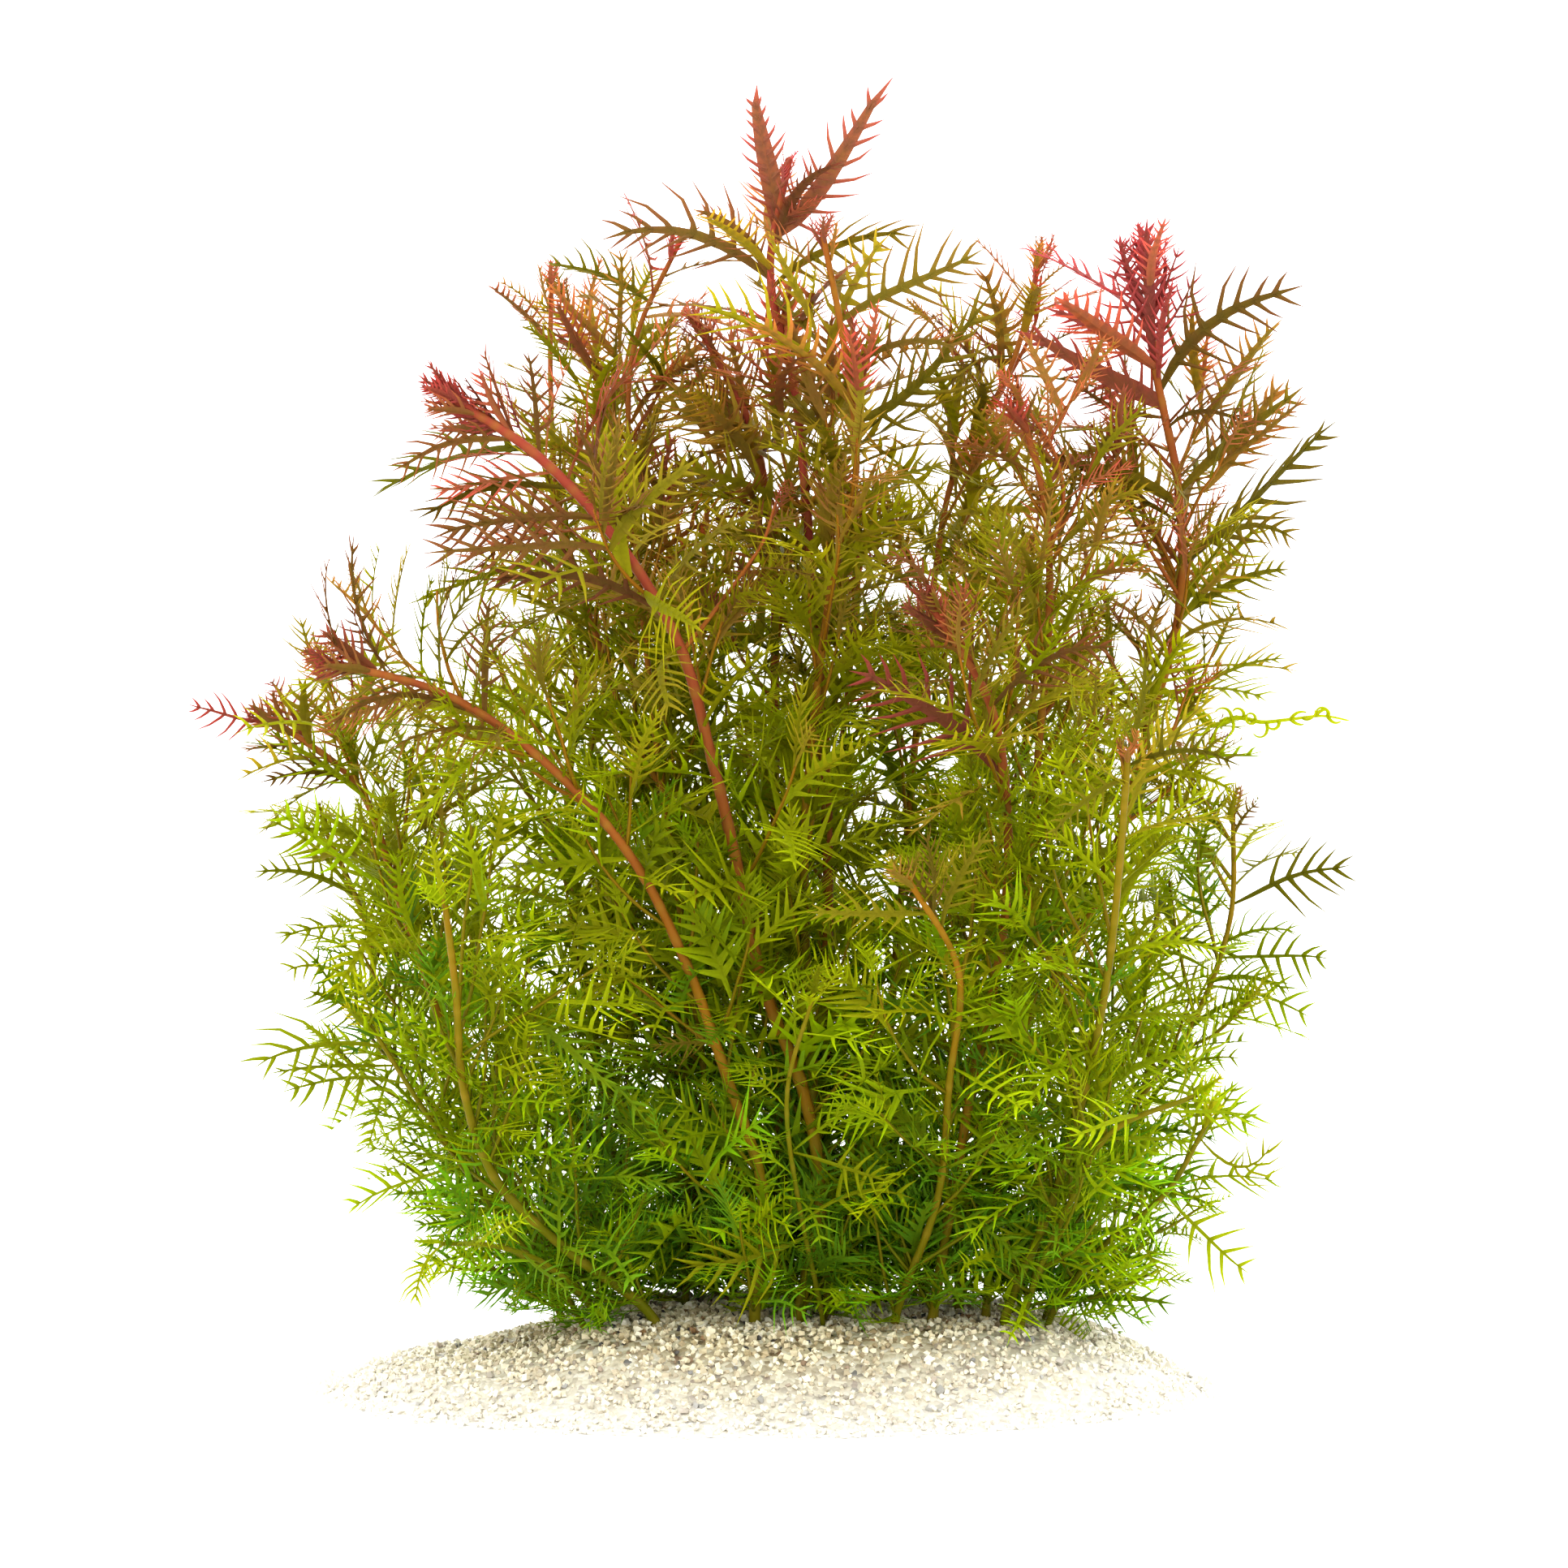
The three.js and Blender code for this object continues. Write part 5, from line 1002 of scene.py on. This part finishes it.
def leaf_material():
    m, nt = new_material("leaf_tissue")
    coords = nt.nodes.new("ShaderNodeTexCoord").outputs["Object"]
    mottle = node(nt, "ShaderNodeTexNoise", Scale=260.0, Detail=3.0, Roughness=0.6)
    nt.links.new(coords, mottle.inputs["Vector"])
    grain = node(nt, "ShaderNodeTexNoise", Scale=1500.0, Detail=2.0)
    nt.links.new(coords, grain.inputs["Vector"])
    tint, edge, leaf = (attribute(nt, k).outputs["Fac"] for k in ("tint", "edge", "leaf"))
    # older, browner tissue in patches; lobes a little greener than the midrib
    where = maths(nt, "ADD", tint, maths(nt, "MULTIPLY", maths(nt, "SUBTRACT", mottle.outputs["Fac"], 0.5), 0.17))
    high_up = maths(nt, "SUBTRACT", tint, 0.34)
    lobes = maths(nt, "MULTIPLY", maths(nt, "SUBTRACT", edge, 0.4), high_up)
    where = maths(nt, "ADD", where, maths(nt, "MULTIPLY", lobes, 0.32), clamp=True)
    colours = ramp(
        nt,
        [
            (0.00, (0.145, 0.315, 0.012)),
            (0.14, (0.330, 0.425, 0.002)),
            (0.32, (0.415, 0.455, 0.003)),
            (0.46, (0.425, 0.400, 0.007)),
            (0.60, (0.435, 0.318, 0.026)),
            (0.74, (0.480, 0.200, 0.058)),
            (0.88, (0.520, 0.135, 0.076)),
            (1.00, (0.520, 0.098, 0.076)),
        ],
    )
    nt.links.new(where, colours.inputs[0])
    # the leaf attribute is each leaf's own random lightness, with painted shade in it for front leaves high up and for
    # the olive and brown traced leaves
    tone = maths(nt, "ADD", 0.62, maths(nt, "MULTIPLY", leaf, 0.75))
    tone = maths(nt, "MULTIPLY", tone, maths(nt, "ADD", 0.85, maths(nt, "MULTIPLY", grain.outputs["Fac"], 0.3)))
    # painted light: lobes get lighter out towards their thin tips, as if light shone through them, while the midrib
    # stays darker
    tone = maths(nt, "MULTIPLY", tone, maths(nt, "ADD", 0.76, maths(nt, "MULTIPLY", edge, 0.52)))
    # painted light: the top of the bush is painted paler and pinker, a haze of light, and the foot a little lighter, a
    # fill among the dense low leaves
    height = nt.nodes.new("ShaderNodeSeparateXYZ")
    nt.links.new(coords, height.inputs[0])
    painted_light_by_height = []
    for z0, z1 in ((0.200, 0.250), (0.095, 0.015)):
        step = node(nt, "ShaderNodeMapRange")
        step.inputs["From Min"].default_value = z0
        step.inputs["From Max"].default_value = z1
        nt.links.new(height.outputs[2], step.inputs["Value"])
        painted_light_by_height.append(step.outputs[0])
    # painted light: the tone is raised towards the foot of the bush
    foot = maths(nt, "MULTIPLY", tone, maths(nt, "ADD", 1.0, maths(nt, "MULTIPLY", painted_light_by_height[1], 0.36)))
    # painted light: paler towards the top, most of all in blue
    shade = nt.nodes.new("ShaderNodeCombineColor")
    for i, gain in enumerate((0.36, 0.36, 0.95)):
        nt.links.new(maths(nt, "MULTIPLY", foot, maths(nt, "ADD", 1.0, maths(nt, "MULTIPLY", painted_light_by_height[0], gain))), shade.inputs[i])
    # some leaves are a fresher green
    fresh = node(nt, "ShaderNodeMapRange")
    fresh.inputs["From Min"].default_value = 0.72
    fresh.inputs["From Max"].default_value = 0.98
    nt.links.new(leaf, fresh.inputs["Value"])
    low = maths(nt, "SUBTRACT", 0.85, maths(nt, "MULTIPLY", tint, 1.9), clamp=True)
    base = mix_colour(nt, "MIX", maths(nt, "MULTIPLY", fresh.outputs[0], low), colours.outputs[0], (0.220, 0.430, 0.003))
    colour = mix_colour(nt, "MULTIPLY", 1.0, base, shade.outputs[0])
    bump = node(nt, "ShaderNodeBump", Strength=0.25, Distance=0.0002)
    nt.links.new(grain.outputs["Fac"], bump.inputs["Height"])
    p = node(nt, "ShaderNodeBsdfPrincipled")
    p.inputs["Specular IOR Level"].default_value = 0.06
    rough = maths(nt, "ADD", 0.36, maths(nt, "MULTIPLY", mottle.outputs["Fac"], 0.25))
    nt.links.new(rough, p.inputs["Roughness"])
    nt.links.new(colour, p.inputs["Base Color"])
    nt.links.new(bump.outputs[0], p.inputs["Normal"])
    t = nt.nodes.new("ShaderNodeBsdfTranslucent")
    nt.links.new(colour, t.inputs["Color"])
    nt.links.new(bump.outputs[0], t.inputs["Normal"])
    mixer = nt.nodes.new("ShaderNodeMixShader")
    mixer.inputs[0].default_value = 0.62
    nt.links.new(p.outputs[0], mixer.inputs[1])
    nt.links.new(t.outputs[0], mixer.inputs[2])
    out = nt.nodes.new("ShaderNodeOutputMaterial")
    nt.links.new(mixer.outputs[0], out.inputs[0])
    return m


def stem_material():
    m, nt = new_material("stem_skin")
    coords = nt.nodes.new("ShaderNodeTexCoord").outputs["Object"]
    streak = node(nt, "ShaderNodeTexNoise", Scale=420.0, Detail=4.0)
    stretched = node(nt, "ShaderNodeMapping")
    stretched.inputs["Scale"].default_value = (1, 1, 0.12)
    nt.links.new(coords, stretched.inputs["Vector"])
    nt.links.new(stretched.outputs[0], streak.inputs["Vector"])
    blotch = node(nt, "ShaderNodeTexNoise", Scale=150.0, Detail=2.0)
    nt.links.new(coords, blotch.inputs["Vector"])
    up, knot, red = (attribute(nt, k).outputs["Fac"] for k in ("up", "knot", "red"))
    high = node(nt, "ShaderNodeMapRange")
    high.inputs["From Min"].default_value = 25.0
    high.inputs["From Max"].default_value = 190.0
    nt.links.new(up, high.inputs["Value"])
    where = maths(nt, "MULTIPLY", high.outputs[0], maths(nt, "ADD", 0.3, maths(nt, "MULTIPLY", red, 0.7)))
    where = maths(nt, "ADD", where, maths(nt, "MULTIPLY", red, 0.12))
    where = maths(nt, "ADD", where, maths(nt, "MULTIPLY", maths(nt, "SUBTRACT", streak.outputs["Fac"], 0.5), 0.3))
    where = maths(nt, "ADD", where, maths(nt, "MULTIPLY", maths(nt, "SUBTRACT", blotch.outputs["Fac"], 0.5), 0.2), clamp=True)
    colours = ramp(
        nt,
        [
            (0.00, (0.110, 0.120, 0.002)),
            (0.22, (0.165, 0.115, 0.002)),
            (0.42, (0.240, 0.100, 0.004)),
            (0.65, (0.250, 0.072, 0.011)),
            (1.00, (0.250, 0.038, 0.020)),
        ],
    )
    nt.links.new(where, colours.inputs[0])
    colour = mix_colour(nt, "MIX", maths(nt, "MULTIPLY", knot, 0.35), colours.outputs[0], (0.26, 0.17, 0.015))
    bump = node(nt, "ShaderNodeBump", Strength=0.3, Distance=0.0003)
    nt.links.new(streak.outputs["Fac"], bump.inputs["Height"])
    p = node(nt, "ShaderNodeBsdfPrincipled")
    rough = maths(nt, "ADD", 0.32, maths(nt, "MULTIPLY", blotch.outputs["Fac"], 0.25))
    nt.links.new(rough, p.inputs["Roughness"])
    p.inputs["Specular IOR Level"].default_value = 0.05
    nt.links.new(colour, p.inputs["Base Color"])
    nt.links.new(bump.outputs[0], p.inputs["Normal"])
    out = nt.nodes.new("ShaderNodeOutputMaterial")
    nt.links.new(p.outputs[0], out.inputs[0])
    return m


def sand_material(name, grains):
    m, nt = new_material(name)
    coords = nt.nodes.new("ShaderNodeTexCoord").outputs["Object"]
    fleck = node(nt, "ShaderNodeTexNoise", Scale=1800.0, Detail=3.0)
    nt.links.new(coords, fleck.inputs["Vector"])
    if grains:
        which = attribute(nt, "grain").outputs["Fac"]
        height = fleck.outputs["Fac"]
    else:
        cells = node(nt, "ShaderNodeTexVoronoi", Scale=850.0)
        nt.links.new(coords, cells.inputs["Vector"])
        split = nt.nodes.new("ShaderNodeSeparateColor")
        nt.links.new(cells.outputs["Color"], split.inputs[0])
        which = split.outputs[0]
        height = maths(nt, "SUBTRACT", 1.0, cells.outputs["Distance"])
    colours = ramp(
        nt,
        [
            (0.00, (0.585, 0.500, 0.310)),
            (0.20, (0.750, 0.685, 0.485)),
            (0.38, (0.410, 0.325, 0.175)),
            (0.52, (0.660, 0.580, 0.380)),
            (0.66, (0.290, 0.220, 0.108)),
            (0.74, (0.800, 0.745, 0.580)),
            (0.86, (0.175, 0.130, 0.070)),
            (0.91, (0.495, 0.415, 0.260)),
            (0.962, (0.206, 0.112, 0.043)),
            (0.982, (0.039, 0.034, 0.030)),
        ],
        "CONSTANT",
    )
    nt.links.new(which, colours.inputs[0])
    # painted light and shade: the sand is painted paler towards the foot of the heap, so that the sand near the plant
    # stays darker, as in its shadow
    place = nt.nodes.new("ShaderNodeSeparateXYZ")
    nt.links.new(coords, place.inputs[0])
    out_x = maths(nt, "POWER", maths(nt, "ABSOLUTE", maths(nt, "MULTIPLY", maths(nt, "ADD", place.outputs[0], 0.001), 1 / 0.087), 0.0), 2.0)
    out_y = maths(nt, "POWER", maths(nt, "ABSOLUTE", maths(nt, "MULTIPLY", maths(nt, "ADD", place.outputs[1], 0.002), 1 / 0.060), 0.0), 2.0)
    painted_pale_rim = node(nt, "ShaderNodeMapRange")
    painted_pale_rim.inputs["From Min"].default_value = 0.35
    painted_pale_rim.inputs["From Max"].default_value = 1.0
    painted_pale_rim.inputs["To Max"].default_value = 0.72
    nt.links.new(maths(nt, "ADD", out_x, out_y), painted_pale_rim.inputs["Value"])
    light = maths(nt, "ADD", 0.8, maths(nt, "MULTIPLY", fleck.outputs["Fac"], 0.4))
    if not grains:  # what shows between the grains is in their shade
        light = maths(nt, "MULTIPLY", light, 0.62)
    grey = nt.nodes.new("ShaderNodeCombineColor")
    for i in range(3):
        nt.links.new(light, grey.inputs[i])
    colour = mix_colour(nt, "MULTIPLY", 1.0, colours.outputs[0], grey.outputs[0])
    # painted light: the outer sand is mixed towards off-white
    colour = mix_colour(nt, "MIX", painted_pale_rim.outputs[0], colour, (0.90, 0.88, 0.82))
    bump = node(nt, "ShaderNodeBump", Strength=0.5, Distance=0.0002 if grains else 0.0006)
    nt.links.new(height, bump.inputs["Height"])
    p = node(nt, "ShaderNodeBsdfPrincipled")
    p.inputs["Specular IOR Level"].default_value = 0.45
    rough = maths(nt, "ADD", 0.3, maths(nt, "MULTIPLY", fleck.outputs["Fac"], 0.4))
    nt.links.new(rough, p.inputs["Roughness"])
    nt.links.new(colour, p.inputs["Base Color"])
    nt.links.new(bump.outputs[0], p.inputs["Normal"])
    out = nt.nodes.new("ShaderNodeOutputMaterial")
    nt.links.new(p.outputs[0], out.inputs[0])
    return m


leaf_tissue = leaf_material()
stem_skin = stem_material()
sand_ground = sand_material("sand_ground", False)
sand_grain = sand_material("sand_grain", True)

# ---------------------------------------------------------------- the plant

for index, (name, (r0, r1, control)) in enumerate(STEMS.items()):
    rng = np.random.default_rng(1000 + index)
    habit = HABIT[name]
    red, longest, twigs, fine = habit
    line, dist = smooth_line(control, 1.5)
    total = dist[-1]
    # the leaves begin just above the sand
    start = dist[int(np.argmax(line[:, 2] > sand_height(line[:, 0], line[:, 1]) + 0.8))]
    nodes = total - leaf_places(total, 2.0)
    nodes = nodes[nodes < total - 8]
    stem = Heap()
    stem_body(stem, rng, line, dist, r0, r1, nodes, STEM_RED.get(name, red))
    obj = stem.object("stem_of_shoot_" + name, stem_skin, True)
    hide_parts("stem_" + name)
    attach(obj, "root")
    count["stems"] += sum(len(p.vertices) - 2 for p in obj.data.polygons)
    leaves = Heap()
    clothe(leaves, rng, line, dist, habit, start, longest, bare=16.0 if name == "01_tall_centre" else 0.0, shoot=name, grip=0.55 * r1)
    rng = np.random.default_rng(3000 + index)
    for shoot, *leaf in OUTLINE_LEAVES + ODD_LEAVES:
        if shoot == name:
            broad = leaf[5] > 0.7 if name == "01_tall_centre" else leaf[5] > 0.85 and name == "17_right_tall"
            traced_leaf(leaves, rng, broad, *leaf)
    if name == "17_right_tall":
        curled_leaf(leaves, rng, CURLED, 0.36)
    # side twigs: crowded low down, few higher up
    rng = np.random.default_rng(5000 + index)
    places, t = [], start + rng.uniform(0, 2)
    low_z, high_z = CROWDED.get(name, (0, 0))
    while t < total - BARE_TOP.get(name, max(24, total * 0.2)):
        places.append(t)
        z = np.interp(t, dist, line[:, 2])
        step = (TWIG_GAP_LOW + TWIG_GAP_RISE * smooth(50, 125, z)) / max(twigs / 4, 0.4)
        if low_z < z < high_z:
            step *= 0.55
        step *= 1 + 0.1 * float(smooth(125, 165, z)) + 0.15 * float(smooth(150, 190, z))
        t += rng.uniform(0.7, 1.3) * step
    if name == "29_front_thin":
        places = []
    if places:
        twig = Heap()
        for number, t in enumerate(places):
            rng = np.random.default_rng((index + 1) * 1000 + number)
            z = np.interp(t, dist, line[:, 2])
            length = rng.uniform(16, 40) * (1 - 0.25 * (total < 90)) * (1 - 0.3 * float(smooth(120, 165, z)))
            side, along = side_line(rng, line, dist, t, length, math.radians(rng.uniform(26, 66 - 24 * smooth(70, 120, z))))
            stem_body(twig, rng, side[::2], along[::2], 0.42, 0.24, np.zeros(0), red * 0.3, sides=4)
            top = float(side[-1][2])
            own = (red * rng.uniform(0.4 + 0.15 * float(smooth(120, 170, top)), 0.95) * float(smooth(85, 175, top)), 0, 0, min(fine + 0.25, 1))
            long = rng.uniform(21, 28) + 3 * float(smooth(70, 120, z)) + 3 * float(smooth(125, 165, z))
            clothe(leaves, rng, side, along, own, 1.5, long, gap=5.2, shift=rng.normal() * 0.07, twig=True)
        # sprouts that hide the feet of the stems and lie over the sand
        rng = np.random.default_rng(7000 + index)
        sprouts = 1 if name in ("07_left_low", "08_left_foot") else LOW_SPROUTS + 4 * (line[0, 1] > 8)
        for _ in range(sprouts):
            t = start + rng.uniform(0.5, 12.0)
            side, along = side_line(rng, line, dist, t, rng.uniform(11, 24), math.radians(rng.uniform(52, 84)))
            stem_body(twig, rng, side[::2], along[::2], 0.4, 0.24, np.zeros(0), 0.1, sides=4)
            clothe(leaves, rng, side, along, (0.0, 0, 0, 1.0), 1.0, rng.uniform(14, 21), gap=4.6, shift=rng.normal() * 0.07 - 0.03, twig=True)
        tangent, a, b = frames_along(line)
        for _ in range(BASAL_LEAVES + (16 if line[0, 1] > 18 else 12 if line[0, 1] > 8 else 0)):
            j = min(int(np.searchsorted(dist, start + rng.uniform(0.2, 5.0 + 5.0 * (line[0, 1] > 18)))), len(dist) - 1)
            turn = rng.uniform(0, 2 * math.pi)
            out = math.cos(turn) * a[j] + math.sin(turn) * b[j]
            rise, arch = math.radians(rng.uniform(50, 92)), math.radians(rng.uniform(-40, 5))
            leaf_at(leaves, rng, line[j], tangent[j], out, rng.uniform(11, 20), rise, arch, rng.uniform(-0.02, 0.16), FINE, True)
        for number, (shoot, points, q0, q1, long, shift) in enumerate(SIDE_SHOOTS):
            if shoot == name:
                rng = np.random.default_rng(9000 + number)
                side, along = smooth_line(points, 1.2)
                stem_body(twig, rng, side, along, q0, q1, np.zeros(0), red * 0.6, sides=6)
                clothe(leaves, rng, side, along, (red, 0, 0, 0.3), 2.0, long, gap=5.2, shift=shift * 0.5, twig=True)
        obj = twig.object("twigs_of_shoot_" + name, stem_skin, True)
        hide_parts("leaves_" + name)
        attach(obj, "root")
        count["stems"] += sum(len(p.vertices) - 2 for p in obj.data.polygons)
    obj = leaves.object("leaves_of_shoot_" + name, leaf_tissue)
    count["leaves"] += len(leaves.verts)
    count["most"] = max(count["most"], len(obj.data.polygons))
    count["triangles"] += len(obj.data.polygons)
    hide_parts("leaves_" + name)
    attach(obj, "root")
print("made", count)

# ---------------------------------------------------------------- the sand

rng = np.random.default_rng(5)
rings, sectors = 44, 120
r = np.linspace(0, 1, rings + 1)[1:]
a = np.arange(sectors) * 2 * math.pi / sectors
x = SAND_CENTRE[0] + SAND_HALF[0] * r[:, None] * np.cos(a) * 0.992
y = SAND_CENTRE[1] + SAND_HALF[1] * r[:, None] * np.sin(a) * 0.992
lumps = 0.35 * (np.sin(x * 0.31 + 1) * np.sin(y * 0.37) + 0.6 * np.sin(x * 0.7) * np.cos(y * 0.63 + 2))
z = sand_height(x, y) - 0.35 + (lumps + rng.normal(size=x.shape) * 0.12) * smooth(1.0, 0.9, r)[:, None]
z[-1] = 0.5
top = np.stack([x, y, z], -1).reshape(-1, 3)
bottom = np.stack([x[-1], y[-1], np.zeros(sectors)], -1)
verts = np.vstack([top, bottom, [[*SAND_CENTRE, sand_height(*SAND_CENTRE) - 0.35]], [[*SAND_CENTRE, 0.0]]])
i = np.arange(sectors)
k = np.arange(rings)[:, None] * sectors
quads = np.stack([k + i, k + sectors + i, k + sectors + (i + 1) % sectors, k + (i + 1) % sectors], -1).reshape(-1, 4)
middle = rings * sectors + sectors
tris = np.vstack(
    [
        np.stack([np.full(sectors, middle), i, (i + 1) % sectors], -1),
        np.stack([np.full(sectors, middle + 1), rings * sectors + (i + 1) % sectors, rings * sectors + i], -1),
    ]
)
ground = Heap()
ground.add(verts, tris=tris, quads=quads)
obj = ground.object("sand_of_heap", sand_ground, True)
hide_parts("sand_heap")
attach(obj, "root")

CUBE = np.array([(x, y, z) for x in (-1, 1) for y in (-1, 1) for z in (-1, 1)], float)
CUBE_TRIS = outward(
    CUBE,
    np.array([(0, 1, 3), (0, 3, 2), (4, 6, 7), (4, 7, 5), (0, 4, 5), (0, 5, 1), (2, 3, 7), (2, 7, 6), (0, 2, 6), (0, 6, 4), (1, 5, 7), (1, 7, 3)]),
)
GRAINS = 10600
grains = Heap()
rr = np.sqrt(rng.uniform(0, 1, GRAINS)) * 0.998
rr[:360] = 1.0 + 0.08 * rng.beta(1, 3.2, 360)  # strays round the foot of the heap
aa = rng.uniform(0, 2 * math.pi, GRAINS)
gx = SAND_CENTRE[0] + SAND_HALF[0] * rr * np.cos(aa)
gy = SAND_CENTRE[1] + SAND_HALF[1] * rr * np.sin(aa)
gz = sand_height(gx, gy)
size = np.clip(rng.lognormal(math.log(0.52), 0.24, GRAINS), 0.3, 0.95)
shape = CUBE[None] * (1 + 0.32 * rng.normal(size=(GRAINS, 8, 3)).clip(-1.2, 1.2)) * rng.uniform(0.72, 1.15, (GRAINS, 1, 3))
q = unit(rng.normal(size=(GRAINS, 4)))
w, X, Y, Z = q.T
R = np.stack(
    [
        1 - 2 * (Y * Y + Z * Z), 2 * (X * Y - Z * w), 2 * (X * Z + Y * w),
        2 * (X * Y + Z * w), 1 - 2 * (X * X + Z * Z), 2 * (Y * Z - X * w),
        2 * (X * Z - Y * w), 2 * (Y * Z + X * w), 1 - 2 * (X * X + Y * Y),
    ],
    -1,
).reshape(-1, 3, 3)
pts = np.einsum("gij,gvj->gvi", R, shape * (size * 0.72)[:, None, None])
lowest = pts[:, :, 2].min(1)
pts += np.stack([gx, gy, np.where(rr > 1, size * 0.4, gz + rng.uniform(-0.5, 0.25, GRAINS))], -1)[:, None]
under = np.minimum(pts[:, :, 2].min(1) - 0.02, 0)
pts[:, :, 2] -= under[:, None]
faces = (CUBE_TRIS[None] + 8 * np.arange(GRAINS)[:, None, None]).reshape(-1, 3)
tone = rng.uniform(0, 1, GRAINS)
grains.add(pts.reshape(-1, 3), tris=faces, grain=np.repeat(tone, 8))
obj = grains.object("sand_grains", sand_grain)
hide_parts("sand_heap")
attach(obj, "root")

# ---------------------------------------------------------------- floor and light

floor_material, nt = new_material("pale_floor")
p = node(nt, "ShaderNodeBsdfPrincipled", Roughness=0.9)
p.inputs["Base Color"].default_value = (0.93, 0.93, 0.92, 1)
out = nt.nodes.new("ShaderNodeOutputMaterial")
nt.links.new(p.outputs[0], out.inputs[0])
mesh = bpy.data.meshes.new("floor")
mesh.from_pydata([(-6, -6, 0), (6, -6, 0), (6, 6, 0), (-6, 6, 0)], [], [(0, 1, 2, 3)])
floor = bpy.data.objects.new("floor", mesh)
mesh.materials.append(floor_material)
scene.collection.objects.link(floor)

world = bpy.data.worlds.new("studio")
scene.world = world
world.use_nodes = True
world.node_tree.nodes["Background"].inputs[0].default_value = (1.0, 1.0, 1.0, 1)
world.node_tree.nodes["Background"].inputs[1].default_value = 2.32


def area(name, place, target, size, power, colour=(1, 1, 1)):
    data = bpy.data.lights.new(name, "AREA")
    data.energy = power
    data.size = size
    data.color = colour
    light = bpy.data.objects.new(name, data)
    light.location = place
    from mathutils import Vector

    light.rotation_euler = (Vector(target) - Vector(place)).to_track_quat("-Z", "Y").to_euler()
    scene.collection.objects.link(light)


area("key", (-0.5, -0.9, 1.1), (0, 0, 0.12), 0.9, 5.5, (1.0, 0.985, 0.96))
area("back", (0.3, 1.1, 0.7), (0, 0, 0.12), 1.2, 12.0)

scene.cycles.max_bounces = 8
scene.cycles.diffuse_bounces = 5
scene.cycles.glossy_bounces = 1
scene.cycles.transmission_bounces = 6

scene.view_settings.view_transform = "Standard"
scene.view_settings.look = "None"
